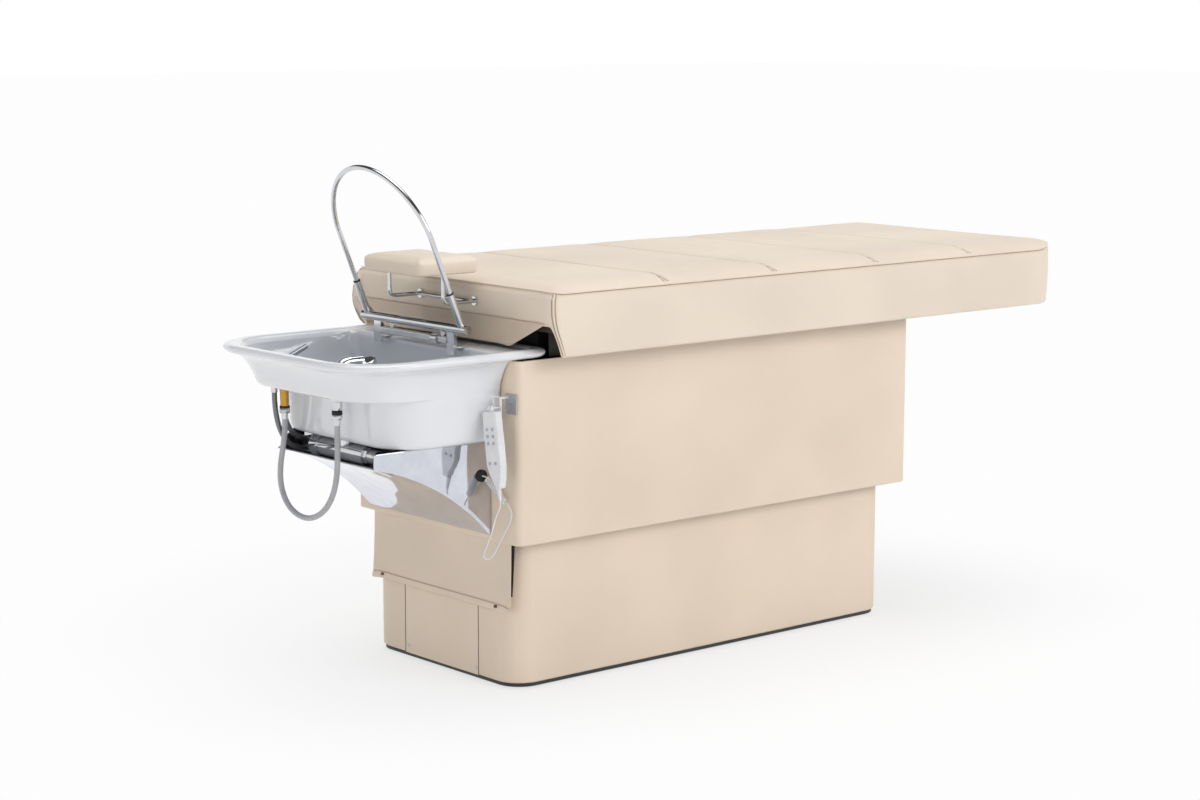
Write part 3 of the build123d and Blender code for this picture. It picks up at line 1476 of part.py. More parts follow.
with BuildPart() as curly_cord:
    with BuildLine() as coil_path:
        lead_end = cord_start + Vector(0, -lead_length, 0)
        Line(cord_start, lead_end)
        last_place, last_heading = lead_end, Vector(0, -1, 0)
        for step in range(coil_steps * coil_turns + 1):
            place, heading = coil_point(step / coil_steps)
            biarc(last_place, last_heading, place, heading)
            last_place, last_heading = place, heading
        out_start = coil_exit - coil_direction * lead_length
        biarc(last_place, last_heading, out_start, coil_direction)
        Line(out_start, coil_exit)
    coil_wire = coil_path.wires()[0]
    with BuildSketch(Plane(cord_start, z_dir=(0, -1, 0))):
        Circle(cord_radius)
    sweep(path=coil_wire)
save(curly_cord, "curly_cord")

samples = [coil_point(step / 24)[0] for step in range(24 * coil_turns + 1)]
least_gap = min((samples[i] - samples[j]).length for i in range(len(samples))
                for j in range(i + 13, min(i + 36, len(samples)))) - 2 * cord_radius
print(f"curly cord: {coil_wire.length:.0f} mm of cord, least gap to itself {least_gap:.2f} mm")

# Plain end of the cord: hangs in a narrow loop and comes up into the remote's strain relief

loop_route = [tuple(coil_exit), tuple(coil_exit + coil_direction * loop_lead),
              (-627, -276, 380), (-630, -267, 358), (-634, -252, 332), (-638, -238, 307),
              (-641, -230, 291), (-651, -224, 284), (-664, -225, 291), (-665, -240, 316),
              (-663.5, -257, 351), (-664, -272, 388),
              tuple(tail_end + remote_down * tail_lead), tuple(tail_end)]
straight_cord = tube_along(loop_route, cord_radius)
save(straight_cord, "straight_cord")
print(f"coil exit {tuple(round(v, 1) for v in coil_exit)}, "
      f"tail end {tuple(round(v, 1) for v in tail_end)}")
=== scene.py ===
import json
import math

import bpy
import numpy as np
from mathutils import Matrix, Vector, noise


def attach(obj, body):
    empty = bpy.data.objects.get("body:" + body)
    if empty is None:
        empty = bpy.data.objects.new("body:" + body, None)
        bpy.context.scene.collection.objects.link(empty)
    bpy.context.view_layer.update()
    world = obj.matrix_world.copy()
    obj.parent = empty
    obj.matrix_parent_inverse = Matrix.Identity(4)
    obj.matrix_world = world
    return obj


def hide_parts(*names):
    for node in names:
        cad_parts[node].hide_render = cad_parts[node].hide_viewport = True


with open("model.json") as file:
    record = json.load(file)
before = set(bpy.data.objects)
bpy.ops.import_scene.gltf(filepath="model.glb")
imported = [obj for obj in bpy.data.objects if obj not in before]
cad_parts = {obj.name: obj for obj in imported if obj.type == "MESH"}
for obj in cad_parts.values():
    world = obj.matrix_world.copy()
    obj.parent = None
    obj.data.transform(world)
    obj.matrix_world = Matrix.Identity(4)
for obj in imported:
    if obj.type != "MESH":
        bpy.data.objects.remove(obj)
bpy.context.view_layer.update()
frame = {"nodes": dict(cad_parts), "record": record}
nodes = frame["nodes"]
MM = 0.001

# Camera: the photograph's view, from its vanishing lines

CAMERA_PLACE = (-3.8437, -4.3407, 1.4267)
CAMERA_YAW = math.radians(40.35)
CAMERA_PITCH = math.radians(8.823)
CAMERA_ROLL = math.radians(0.082)
CAMERA_LENS = 77.24
SENSOR_WIDTH = 36
CAMERA_REACH = 200


def make_camera():
    look = Vector((math.sin(CAMERA_YAW) * math.cos(CAMERA_PITCH),
                   math.cos(CAMERA_YAW) * math.cos(CAMERA_PITCH), -math.sin(CAMERA_PITCH)))
    level = Vector((math.cos(CAMERA_YAW), -math.sin(CAMERA_YAW), 0))
    above = level.cross(look)
    right = level * math.cos(CAMERA_ROLL) + above * math.sin(CAMERA_ROLL)
    up = above * math.cos(CAMERA_ROLL) - level * math.sin(CAMERA_ROLL)
    camera = bpy.data.objects.new("camera", bpy.data.cameras.new("camera"))
    camera.data.lens = CAMERA_LENS
    camera.data.sensor_width = SENSOR_WIDTH
    camera.data.sensor_fit = "HORIZONTAL"
    camera.data.clip_end = CAMERA_REACH
    bpy.context.scene.collection.objects.link(camera)
    turn = Matrix((right, up, -look)).transposed().to_4x4()
    camera.matrix_world = Matrix.Translation(Vector(CAMERA_PLACE)) @ turn
    bpy.context.scene.camera = camera


make_camera()

# Materials


def srgb(red, green, blue):
    """Linear colour from 0 to 255 display values."""
    def linear(value):
        value /= 255
        return value / 12.92 if value <= 0.04045 else ((value + 0.055) / 1.055) ** 2.4
    return (linear(red), linear(green), linear(blue), 1)


def shade(color, factor, lift=0.0):
    """A colour made darker or lighter, with no channel above 1."""
    return tuple(min(1.0, c * factor + lift) for c in color[:3]) + (1,)


# Sockets of the Mix node in its colour form: its other forms have sockets of the same names
MIX_FIRST, MIX_SECOND, MIX_RESULT = 6, 7, 2


class Nodes:
    """Short forms for building a material's nodes."""

    def __init__(self, name):
        self.material = bpy.data.materials.new(name)
        self.material.use_nodes = True
        self.tree = self.material.node_tree
        self.shader = self.tree.nodes["Principled BSDF"]
        self.place = self.add("ShaderNodeTexCoord").outputs["Object"]

    def add(self, kind, **values):
        node = self.tree.nodes.new(kind)
        for key, value in values.items():
            setattr(node, key, value)
        return node

    def link(self, out, socket):
        self.tree.links.new(out, socket)

    def noise(self, scale, detail=3.0, rough=0.5, stretch=None, distortion=0.0):
        node = self.add("ShaderNodeTexNoise")
        node.inputs["Scale"].default_value = scale
        node.inputs["Detail"].default_value = detail
        node.inputs["Roughness"].default_value = rough
        node.inputs["Distortion"].default_value = distortion
        self.link(self.stretched(stretch), node.inputs["Vector"])
        return node.outputs["Fac"]

    def voronoi(self, scale, feature="F1", stretch=None):
        node = self.add("ShaderNodeTexVoronoi", feature=feature)
        node.inputs["Scale"].default_value = scale
        self.link(self.stretched(stretch), node.inputs["Vector"])
        return node.outputs["Distance"]

    def stretched(self, stretch):
        if stretch is None:
            return self.place
        mapping = self.add("ShaderNodeMapping")
        mapping.inputs["Scale"].default_value = stretch
        self.link(self.place, mapping.inputs["Vector"])
        return mapping.outputs["Vector"]

    def ranged(self, value, low, high, start=0.0, end=1.0):
        node = self.add("ShaderNodeMapRange")
        node.inputs["From Min"].default_value = start
        node.inputs["From Max"].default_value = end
        node.inputs["To Min"].default_value = low
        node.inputs["To Max"].default_value = high
        self.link(value, node.inputs["Value"])
        return node.outputs["Result"]

    def mixed(self, factor, first, second, blend="MIX"):
        node = self.add("ShaderNodeMix", data_type="RGBA", blend_type=blend)
        self.put(factor, node.inputs["Factor"])
        self.put(first, node.inputs[MIX_FIRST])
        self.put(second, node.inputs[MIX_SECOND])
        return node.outputs[MIX_RESULT]

    def put(self, value, socket):
        if isinstance(value, (int, float, tuple)):
            socket.default_value = value
        else:
            self.link(value, socket)

    def bump(self, height, strength, distance, under=None):
        node = self.add("ShaderNodeBump")
        node.inputs["Strength"].default_value = strength
        node.inputs["Distance"].default_value = distance
        self.link(height, node.inputs["Height"])
        if under is not None:
            self.link(under, node.inputs["Normal"])
        return node.outputs["Normal"]

    def set(self, **values):
        for key, value in values.items():
            self.put(value, self.shader.inputs[key.replace("_", " ")])
        return self


def pale_convex_edges(made, color, share=0.25):
    """Paler colour along convex edges, from the mesh's pointiness."""
    point = made.add("ShaderNodeNewGeometry").outputs["Pointiness"]
    mask = made.ranged(point, 0.0, share, 0.53, 0.60)
    return mask, shade(color, 1.18, 0.02)


def leather(name, color, grain=1.0, puff=1.0):
    made = Nodes(name)
    broad = made.noise(3.2, 2.0)
    cloud = made.noise(38, 4.0, 0.6)
    dark = shade(color, 0.93)
    light = shade(color, 1.035)
    base = made.mixed(made.ranged(broad, 0, 1, 0.32, 0.68), dark, light)
    fine = made.mixed(made.ranged(cloud, 0.0, 0.10, 0.35, 0.75), base, dark)
    mask, pale_edge = pale_convex_edges(made, color)
    made.set(Base_Color=made.mixed(mask, fine, pale_edge))
    made.set(Roughness=made.ranged(cloud, 0.43, 0.56, 0.3, 0.7))
    soft = made.bump(made.noise(5.5, 2.0), 0.5, 0.0022 * puff)
    cells = made.bump(made.voronoi(620), 0.30 * grain, 0.00022, soft)
    pores = made.bump(made.noise(1500, 2.0), 0.20 * grain, 0.00010, cells)
    made.set(Normal=pores)
    made.shader.inputs["Specular IOR Level"].default_value = 0.42
    made.shader.inputs["Coat Weight"].default_value = 0.06
    made.shader.inputs["Coat Roughness"].default_value = 0.35
    return made.material


def ceramic(name, color):
    made = Nodes(name)
    broad = made.noise(6.0, 2.0)
    dark = shade(color, 0.965)
    made.set(Base_Color=made.mixed(broad, dark, color))
    made.set(Roughness=made.ranged(made.noise(22, 3.0), 0.07, 0.14, 0.3, 0.7))
    wave = made.bump(made.noise(11, 1.0), 0.35, 0.0010)
    made.set(Normal=made.bump(made.noise(240, 2.0), 0.08, 0.00010, wave))
    made.shader.inputs["Coat Weight"].default_value = 0.5
    made.shader.inputs["Coat Roughness"].default_value = 0.05
    return made.material


def metal(name, color, low, high, grain=None, depth=0.00003, wave=0.0):
    made = Nodes(name)
    blotch = made.noise(30, 3.0)
    dull = shade(color, 0.90)
    made.set(Base_Color=made.mixed(made.ranged(blotch, 0, 1, 0.35, 0.7), dull, color))
    made.set(Roughness=made.ranged(made.noise(90, 3.0), low, high, 0.3, 0.7))
    made.shader.inputs["Metallic"].default_value = 1.0
    normal = None
    if wave:
        normal = made.bump(made.noise(3.1, 1.0), 0.6, wave)
    if grain:
        normal = made.bump(made.noise(260, 2.0, 0.6, grain), 0.35, depth, normal)
    else:
        normal = made.bump(made.noise(700, 2.0), 0.10, depth, normal)
    made.set(Normal=normal)
    return made.material


def plastic(name, color, low, high, grain=900, strength=0.15, depth=0.00006):
    made = Nodes(name)
    broad = made.noise(24, 3.0)
    dark = shade(color, 0.90)
    base = made.mixed(made.ranged(broad, 0, 1, 0.3, 0.7), dark, color)
    mask, pale_edge = pale_convex_edges(made, color, 0.35)
    made.set(Base_Color=made.mixed(mask, base, pale_edge))
    made.set(Roughness=made.ranged(made.noise(130, 3.0), low, high, 0.3, 0.7))
    made.set(Normal=made.bump(made.noise(grain, 2.0), strength, depth))
    return made.material


def wood(name, color):
    made = Nodes(name)
    rings = made.noise(14, 4.0, 0.6, (1.0, 9.0, 9.0), 0.6)
    dark = shade(color, 0.66)
    made.set(Base_Color=made.mixed(made.ranged(rings, 0, 1, 0.35, 0.65), dark, color))
    made.set(Roughness=made.ranged(rings, 0.45, 0.62, 0.3, 0.7))
    made.set(Normal=made.bump(rings, 0.2, 0.0004))
    return made.material


BEIGE = srgb(228, 211, 191)
CREAM = srgb(233, 218, 200)
THREAD = srgb(164, 141, 118)

# The finish of each slot, then the finishes of single pieces
skins = {
    "beige_leather": leather("beige_leather", BEIGE),
    "cream_leather": leather("cream_leather", CREAM),
    "white_ceramic": ceramic("white_ceramic", srgb(229, 231, 235)),
    # The polished steel's colour leans blue: a painted reflection of the bluish shade round the
    # cowl
    "polished_steel": metal("polished_steel", srgb(216, 219, 228), 0.03, 0.07, wave=0.004),
    "chrome": metal("chrome", srgb(218, 219, 222), 0.06, 0.13),
    "bright_steel": metal("bright_steel", srgb(196, 197, 200), 0.24, 0.36, (1, 14, 14)),
    "black_steel": plastic("black_steel", srgb(34, 34, 36), 0.42, 0.56, 500),
    "black_rubber": plastic("black_rubber", srgb(26, 26, 27), 0.60, 0.78, 700),
    "black_plastic": plastic("black_plastic", srgb(30, 30, 32), 0.40, 0.55),
    "white_plastic": plastic("white_plastic", srgb(232, 233, 235), 0.26, 0.36),
    "grey_buttons": plastic("grey_buttons", srgb(184, 188, 197), 0.50, 0.62),
    "white_cord": plastic("white_cord", srgb(226, 227, 228), 0.34, 0.46),
    "grey_hose": plastic("grey_hose", srgb(176, 177, 181), 0.34, 0.48, 420, 0.5, 0.0004),
    "dark_hose": metal("dark_hose", srgb(128, 129, 132), 0.26, 0.40, (1, 14, 14)),
    "brass": metal("brass", srgb(200, 152, 70), 0.16, 0.28),
    # Plywood in a very dark brown: the wood's brown darkened with painted shade, for the deck's
    # underside in shade under the mattress
    "plywood": wood("plywood", srgb(64, 52, 42)),
}
# Darker beige for the flap alone: painted shade, for the flap that hangs in shade under the
# mattress's head
shaded = leather("flap_leather_painted_shade", srgb(212, 194, 174))
thread = plastic("sewing_thread", THREAD, 0.55, 0.70)
hem_thread = plastic("hem_thread", srgb(196, 176, 154), 0.55, 0.70)
snap_metal = metal("snap_metal", srgb(118, 100, 80), 0.30, 0.42)
satin = metal("satin_chrome", srgb(172, 174, 180), 0.28, 0.38)
# Pale plastic for the upward faces of the cowl's steel floor: painted light, so the hollow under
# the bowl reads pale, not black
cowl_top_painted_light = plastic("cowl_painted_light_plastic", srgb(228, 229, 233), 0.22, 0.34)
# Greyer ceramic for the basin's inside: painted shade
basin_painted_shade = ceramic("basin_painted_shade", srgb(206, 209, 215))
# Near-black for the dark joints beside the access panel and for painted shade along the apron's
# edge
joint_and_shade_dark = plastic("dark_joint_and_painted_shade", srgb(24, 22, 21), 0.75, 0.90)


def dress_cad():
    """Give every CAD node the finish of its slot."""
    for part in frame["record"]["subparts"]:
        obj = nodes[part["node"]]
        obj.data.materials.clear()
        quiet = part["node"] in ("mixer_lever", "mixer_cap")
        obj.data.materials.append(satin if quiet else skins[part["material_slot"]])


dress_cad()

# Mesh helpers, all points in millimetres


def add_piece(name, points, faces, body, slot, subdivide=0, smooth=True, skin=None):
    """Mesh object in the part's frame that rides on a body and takes a slot's finish."""
    mesh = bpy.data.meshes.new(name)
    mesh.from_pydata([tuple(c * MM for c in p) for p in points], [], faces)
    mesh.validate()
    mesh.update()
    for polygon in mesh.polygons:
        polygon.use_smooth = smooth
    obj = bpy.data.objects.new(name, mesh)
    bpy.context.scene.collection.objects.link(obj)
    mesh.materials.append(skin or skins[slot])
    if subdivide:
        modifier = obj.modifiers.new("subdivide", "SUBSURF")
        modifier.levels = subdivide
        modifier.render_levels = subdivide
    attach(obj, body)
    return obj


def plan_loop(z, x0, x1, half, head_radius, foot_radius, corner=10, long=14, wide=12):
    """Rounded rectangle in plan, counter-clockwise; z is a number or a function of x and y."""
    corners = [(x1 - foot_radius, -half + foot_radius, foot_radius, -90),
               (x1 - foot_radius, half - foot_radius, foot_radius, 0),
               (x0 + head_radius, half - head_radius, head_radius, 90),
               (x0 + head_radius, -half + head_radius, head_radius, 180)]
    arcs = []
    for cx, cy, radius, start in corners:
        arcs.append([(cx + radius * math.cos(math.radians(start + 90 * k / corner)),
                      cy + radius * math.sin(math.radians(start + 90 * k / corner)))
                     for k in range(corner + 1)])
    loop = []
    for index, arc in enumerate(arcs):
        loop.extend(arc)
        after = arcs[(index + 1) % 4][0]
        count = wide if index % 2 == 0 else long
        for k in range(1, count):
            loop.append((arc[-1][0] + (after[0] - arc[-1][0]) * k / count,
                         arc[-1][1] + (after[1] - arc[-1][1]) * k / count))
    return [(x, y, z(x, y) if callable(z) else z) for x, y in loop]


def stack_faces(rings, count, closed=False):
    """Quads between rings of the same count, outward for rings that go up counter-clockwise."""
    faces = []
    pairs = rings if closed else rings - 1
    for ring in range(pairs):
        low = ring * count
        high = ((ring + 1) % rings) * count
        for k in range(count):
            after = (k + 1) % count
            faces.append((low + k, low + after, high + after, high + k))
    return faces


def flat(rings):
    return [point for ring in rings for point in ring]


def tube_rings(path, radius, sides=20, radii=None):
    """Rings of a tube along points, with frames carried along without twist."""
    path = [Vector(p) for p in path]
    tangents = []
    for k, point in enumerate(path):
        before = path[max(k - 1, 0)]
        after = path[min(k + 1, len(path) - 1)]
        tangents.append((after - before).normalized())
    side = tangents[0].orthogonal().normalized()
    rings = []
    for k, point in enumerate(path):
        side = (side - tangents[k] * side.dot(tangents[k])).normalized()
        other = tangents[k].cross(side)
        size = radii[k] if radii else radius
        rings.append([tuple(point + (side * math.cos(2 * math.pi * j / sides)
                                     + other * math.sin(2 * math.pi * j / sides)) * size)
                      for j in range(sides)])
    return rings


def closed_ends(rings):
    """Faces of a stack with both ends closed by fans on their middle points."""
    count = len(rings[0])
    points = flat(rings)
    faces = stack_faces(len(rings), count)
    for start, order in ((0, -1), ((len(rings) - 1) * count, 1)):
        ring = points[start:start + count]
        middle = len(points)
        points.append(tuple(sum(p[a] for p in ring) / count for a in range(3)))
        for k in range(count):
            edge = (start + k, start + (k + 1) % count)
            faces.append((edge[::order]) + (middle,))
    return points, faces


def add_tube(name, path, radius, body, slot, sides=20, radii=None, skin=None):
    points, faces = closed_ends(tube_rings(path, radius, sides, radii))
    return add_piece(name, points, faces, body, slot, skin=skin)


def ease(u):
    u = min(max(u, 0.0), 1.0)
    return u * u * (3 - 2 * u)


# Cords and hoses, along the routes' own points

CURL_TURNS = 14
CURL_PITCH = 4.6
CURL_RADIUS = 5.5
CURL_DIRECTION = Vector((0.20, -0.68, -0.70)).normalized()
CURL_STEPS = 12
CURL_LEAD = 9
CORD_START = Vector((-643, -199, 456))
CORD_RADIUS = 1.5


def helix_points():
    """Control points of the curls about their straight axis, and the place where they end."""
    origin = CORD_START + Vector((0, -CURL_LEAD, 0)) + CURL_DIRECTION * CURL_RADIUS
    across = (Vector((1, 0, 0)) - CURL_DIRECTION * CURL_DIRECTION.x).normalized()
    other = CURL_DIRECTION.cross(across)
    points = []
    for step in range(CURL_STEPS * CURL_TURNS + 1):
        angle = 2 * math.pi * step / CURL_STEPS
        points.append(origin + (across * math.cos(angle) + other * math.sin(angle)) * CURL_RADIUS
                      + CURL_DIRECTION * (CURL_PITCH * step / CURL_STEPS))
    finish = origin + CURL_DIRECTION * (CURL_PITCH * CURL_TURNS + 2 * CURL_RADIUS)
    return points, finish


def add_cord(name, points, radius, body, slot):
    curve = bpy.data.curves.new(name, "CURVE")
    curve.dimensions = "3D"
    curve.bevel_depth = radius * MM
    curve.bevel_resolution = 5
    curve.resolution_u = 8
    curve.use_fill_caps = True
    spline = curve.splines.new("NURBS")
    spline.points.add(len(points) - 1)
    for control, point in zip(spline.points, points):
        control.co = (point[0] * MM, point[1] * MM, point[2] * MM, 1)
    spline.order_u = 3
    spline.use_endpoint_u = True
    obj = bpy.data.objects.new(name, curve)
    bpy.context.scene.collection.objects.link(obj)
    curve.materials.append(skins[slot])
    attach(obj, body)
    return obj


curls, curl_end = helix_points()
remote_loop = [curl_end, curl_end + CURL_DIRECTION * 9,
               (-627, -276, 380), (-630, -267, 358), (-634, -252, 332), (-638, -238, 307),
               (-641, -230, 291), (-651, -224, 284), (-664, -225, 291), (-665, -240, 316),
               (-663.5, -257, 351), (-664, -272, 388), (-663.5, -286.1, 406.1),
               (-663.5, -284.2, 420.0)]
cord = add_cord("remote_cord", [CORD_START, CORD_START + Vector((0, -4, 0))] + curls + remote_loop,
                CORD_RADIUS, "upper", "white_cord")
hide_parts("curly_cord", "straight_cord")

HOSE_X = -920
HOSE_RADIUS = 6
SUPPLY_RADIUS = 5.5
hose_places = [(113, 565.7), (113, 541), (122, 504), (134, 463), (134, 421), (110, 384), (68, 366),
               (20, 367), (-28, 390), (-61, 429), (-76, 476), (-78, 526), (-78, 575.7)]
hose = add_cord("shower_hose_braid", [(HOSE_X, y, z) for y, z in hose_places], HOSE_RADIUS,
                "upper", "grey_hose")
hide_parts("shower_hose")


def fitting_rings():
    """Flange, cone and nuts round the two ends of the shower hose, above the ferrules."""
    def ring(name, y, high, low, radii, slot):
        share = [k / (len(radii) - 1) for k in range(len(radii))]
        path = [(HOSE_X, y, high + (low - high) * s) for s in share]
        add_tube(name, path, 1.0, "upper", slot, 28, radii=list(radii))

    ring("guide_flange", -78, 633.6, 628.2, (13.2, 14.2, 14.2, 13.2), "chrome")
    ring("guide_cone", -78, 628.4, 606.0, (12.0, 11.2, 10.6, 10.3), "chrome")
    ring("guide_seal", -78, 605.8, 597.6, (10.6, 11.0, 11.0, 10.6), "black_rubber")
    ring("guide_nut", -78, 597.4, 588.6, (10.5, 10.9, 10.9, 10.5), "chrome")
    ring("shank_seal", 113, 593.4, 588.4, (10.4, 10.8, 10.8, 10.4), "black_rubber")
    ring("shank_nut", 113, 588.2, 578.4, (10.5, 10.9, 10.9, 10.5), "bright_steel")


fitting_rings()

for label, start_x, height, length in (("cold", -910, 515, 0.143), ("hot", -930, 494, 0.174)):
    supply = add_cord("supply_line_" + label, [(start_x, 136, 620), (start_x, 136, height),
                                               (-848, 136, height)], SUPPLY_RADIUS, "upper",
                      "dark_hose")
    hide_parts("supply_hose_" + label)

# Bowl: one glazed shell from the waste hole round the outside, over the rim and down the inside

DRAIN_X = -842
RIM_ROWS = 5


def bowl_piece():
    def drain_ring(z, radius, like):
        return [(DRAIN_X + radius * math.cos(a), radius * math.sin(a), z)
                for a in (math.atan2(p[1], p[0] - DRAIN_X) for p in like)]

    def deck(front, rear, start=-705.0, end=-668.0):
        return lambda x, y: front + (rear - front) * ease((x - start) / (end - start))

    # Rows: height, head end, foot end, half width, corner radius at the head and at the foot
    under = [(530, -862, -632, 213, 84, 10), (532, -870, -622, 221, 90, 9),
             (537, -875, -618, 226, 94, 9), (546, -878, -617.3, 228, 96, 9),
             (590, -880, -617.3, 229.6, 97, 9), (625, -880.6, -617.3, 231, 97, 9),
             (631, -882, -617.3, 231.2, 98, 9), (634, -887, -617.3, 231.4, 100, 9),
             (634.2, -945, -617.3, 231.5, 108, 9), (635, -956, -617.3, 231.6, 112, 9),
             (638, -962, -617.3, 232, 114, 9), (643, -965.5, -617.3, 232.8, 115, 9),
             (656, -969, -617.3, 235.6, 117, 9), (676, -977, -617.3, 245, 120, 9),
             (690, -986, -617.3, 253.5, 124, 9), (698, -994, -617.3, 261, 128, 9),
             (702.5, -1001, -617.3, 269, 131, 9), (703.3, -1006, -540, 276, 134, 36),
             (704, -1011, -533, 281, 136, 38), (707, -1016, -529, 286, 138, 40),
             (711, -1019.5, -527.3, 289.5, 139.5, 40), (715, -1020, -527, 290, 140, 40),
             (718.5, -1018, -528.5, 288, 138, 39), (721, -1013, -532, 283, 134, 36),
             (722, -1006, -538, 276, 128, 32), (721.8, -998, -546, 268, 121, 26)]
    over = [(deck(721, 721.3), -992, -553, 262, 116, 20),
            (deck(719.5, 719), -988, -557, 258, 112, 16),
            (deck(718, 717.2), -986, -559, 256, 110, 14),
            (deck(716, 717), -984, -563, 254, 108, 12),
            (deck(713, 717), -982, -638, 252, 106, 14),
            (deck(709, 716.4), -980, -643, 250, 105, 16),
            (deck(704, 713), -978, -647, 248, 104, 18), (deck(694, 706), -974, -649, 244, 102, 20),
            (680, -970, -650, 240, 106, 22), (664, -965, -650, 235, 108, 22),
            (652, -960, -650, 230, 105, 22), (646, -955, -650, 226, 99, 22),
            (643.4, -948, -650, 221, 92, 22), (643, -940, -650, 219.5, 86, 22),
            (643, -880, -651, 219, 84, 22), (642, -875, -651, 218.6, 82, 22),
            (638, -871.8, -651, 218.2, 81, 22), (628, -871, -648, 218, 81, 22),
            (600, -870.6, -640, 217.5, 80, 20), (570, -870.4, -632, 217, 79, 18),
            (556, -870.2, -628, 213, 77, 18), (546, -869.6, -630, 205, 72, 20),
            (541, -868.6, -638, 194, 66, 24), (539.2, -867.4, -652, 178, 60, 30)]
    rings = [plan_loop(*row) for row in under + over]
    start = [drain_ring(539.0, 16.4, rings[0]), drain_ring(530.4, 16.4, rings[0]),
             drain_ring(530.0, 17.4, rings[0])]
    finish = [drain_ring(538.7, 24.5, rings[-1])]
    rings = start + rings + finish
    count = len(rings[0])
    bowl = add_piece("bowl_glazed", flat(rings), stack_faces(len(rings), count, closed=True),
                     "upper", "white_ceramic", subdivide=1)
    # Faces past the rim's rows, down into the basin, take the greyer ceramic: painted shade inside
    # the bowl
    bowl.data.materials.append(basin_painted_shade)
    inside = len(start) + len(under) + RIM_ROWS
    for polygon in bowl.data.polygons:
        if polygon.index // count >= inside:
            polygon.material_index = 1
    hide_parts("bowl")


bowl_piece()

# Polished cowl under the bowl, from thin sheet


def cowl_pieces():
    front, back, top = (-913.35, 498.0), (-617.35, 325.8), 529.8
    radius, half, sheet = 568.0, 194.2, 1.5
    arc_steps, floor_steps, side_steps = 40, 48, 16
    span = Vector((back[0] - front[0], back[1] - front[1]))
    across = Vector((span.y, -span.x)).normalized()
    reach = math.sqrt(radius ** 2 - span.length ** 2 / 4) * (1 if across.y < 0 else -1)
    centre = Vector(front) + span / 2 + across * reach
    first = math.atan2(front[1] - centre.y, front[0] - centre.x)
    last = math.atan2(back[1] - centre.y, back[0] - centre.x)
    arc = []
    for k in range(arc_steps + 1):
        angle = first + (last - first) * k / arc_steps
        arc.append((centre.x + radius * math.cos(angle), centre.y + radius * math.sin(angle)))

    def far_edge(x):
        share = (x - front[0]) / span.x
        return 150 + 44 * ease(share / 0.16) + 42 * max(0.0, share - 0.16) / 0.84

    grid = []
    for x, z in arc:
        line = []
        for k in range(floor_steps + 1):
            y = -half + (half + far_edge(x)) * k / floor_steps
            fade = min(1, k / 6, (floor_steps - k) / 6)
            wave = 1.1 * noise.noise(Vector((x / 75, y / 60, 3.0))) * fade
            line.append((x, y, z + sheet / 2 + wave))
        grid.append(line)
    floor = sheet_piece("cowl_floor", grid, sheet, "upper", "polished_steel", 1)
    # Faces turned upward take the pale plastic: painted light in place of the steel's dark
    # reflection
    floor.data.materials.append(cowl_top_painted_light)
    for polygon in floor.data.polygons:
        if polygon.normal.z > 0.3:
            polygon.material_index = 1
    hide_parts("bowl_cowl")
    for side, name in ((-1, "near"), (1, "far")):
        grid = []
        for x, z in arc:
            high = top
            if side > 0:
                high = z + 4 + (top - z - 4) * ease((x + 905) / 70)
            line = []
            for k in range(side_steps + 1):
                share = k / side_steps
                ripple = noise.noise(Vector((x / 90, share * 2, 5.0 * side)))
                wave = 0.7 * ripple * math.sin(math.pi * share)
                edge = half if side < 0 else far_edge(x)
                line.append((x, side * (edge + wave), z + (high - z) * share))
            grid.append(line if side < 0 else line[::-1])
        sheet_piece("cowl_side_" + name, grid, sheet, "upper", "polished_steel", 0)


# Mattress cover: crowned top with sewn channels, sides that hang below the deck

SEAM_Z = 843.0
CHANNELS = (-260, 57, 374, 688)
FORK_REACH = 50
GROOVE_DEPTH, GROOVE_WIDTH = 4.6, 3.0


def cover_columns(x0, x1, head_radius, foot_radius, half, channels, step=15.0):
    """Places along x with the half width there: arcs at the ends, close together at channels."""
    columns = []
    for k in range(11):
        angle = math.radians(90 - 9 * k)
        columns.append((x0 + head_radius * (1 - math.sin(angle)),
                        half - head_radius * (1 - math.cos(angle))))
    places = set()
    x = x0 + head_radius + 6
    while x < x1 - foot_radius - 3:
        places.add(round(x, 1))
        x += step if x > x0 + 120 else 7
    for c in channels:
        places = {p for p in places if abs(p - c) > 26}
        places |= {c + d for d in (-25, -19, -14, -11, -9, -7.5, -6, -4.5, -3, -1.5, 0,
                                   1.5, 3, 4.5, 6, 7.5, 9, 11, 14, 19, 25)}
    columns += [(x, half) for x in sorted(places)]
    for k in range(15):
        angle = math.radians(90 * k / 14)
        columns.append((x1 - foot_radius * (1 - math.sin(angle)),
                        half - foot_radius * (1 - math.cos(angle))))
    return columns


def groove(distance, depth, width):
    return depth * math.exp(-(distance / width) ** 2)


def fork(edge):
    """Half the distance between a channel's two lines near the mattress's edge."""
    return 8 * max(0.0, 1 - edge / FORK_REACH) ** 1.3


def mattress_top(x, y, x0, x1, half):
    edge = half - abs(y)
    crown = 18 * (1 - (1 - min(edge / 66, 1)) ** 2.3)
    crown *= 1 - 0.55 * (1 - min((x - x0) / 210, 1)) ** 2.2
    head = 1 - (1 - min((x - x0 + 3) / 40, 1)) ** 2.4
    foot = 1 - (1 - min((x1 - x + 3) / 60, 1)) ** 2.4
    crown *= head * foot
    height = crown
    fade = ease(edge / 14)
    for c in CHANNELS:
        if abs(x - c) < 60:
            split = fork(edge)
            sewn = max(groove(x - c - split, GROOVE_DEPTH, GROOVE_WIDTH),
                       groove(x - c + split, GROOVE_DEPTH, GROOVE_WIDTH))
            height -= (sewn + groove(x - c, 2.2, 22)) * fade
            height += 0.9 * groove(abs(x - c) - 9, 1, 4) * fade
    height += 0.9 * noise.noise(Vector((x / 130, y / 130, 0.3))) * ease(edge / 60)
    return height


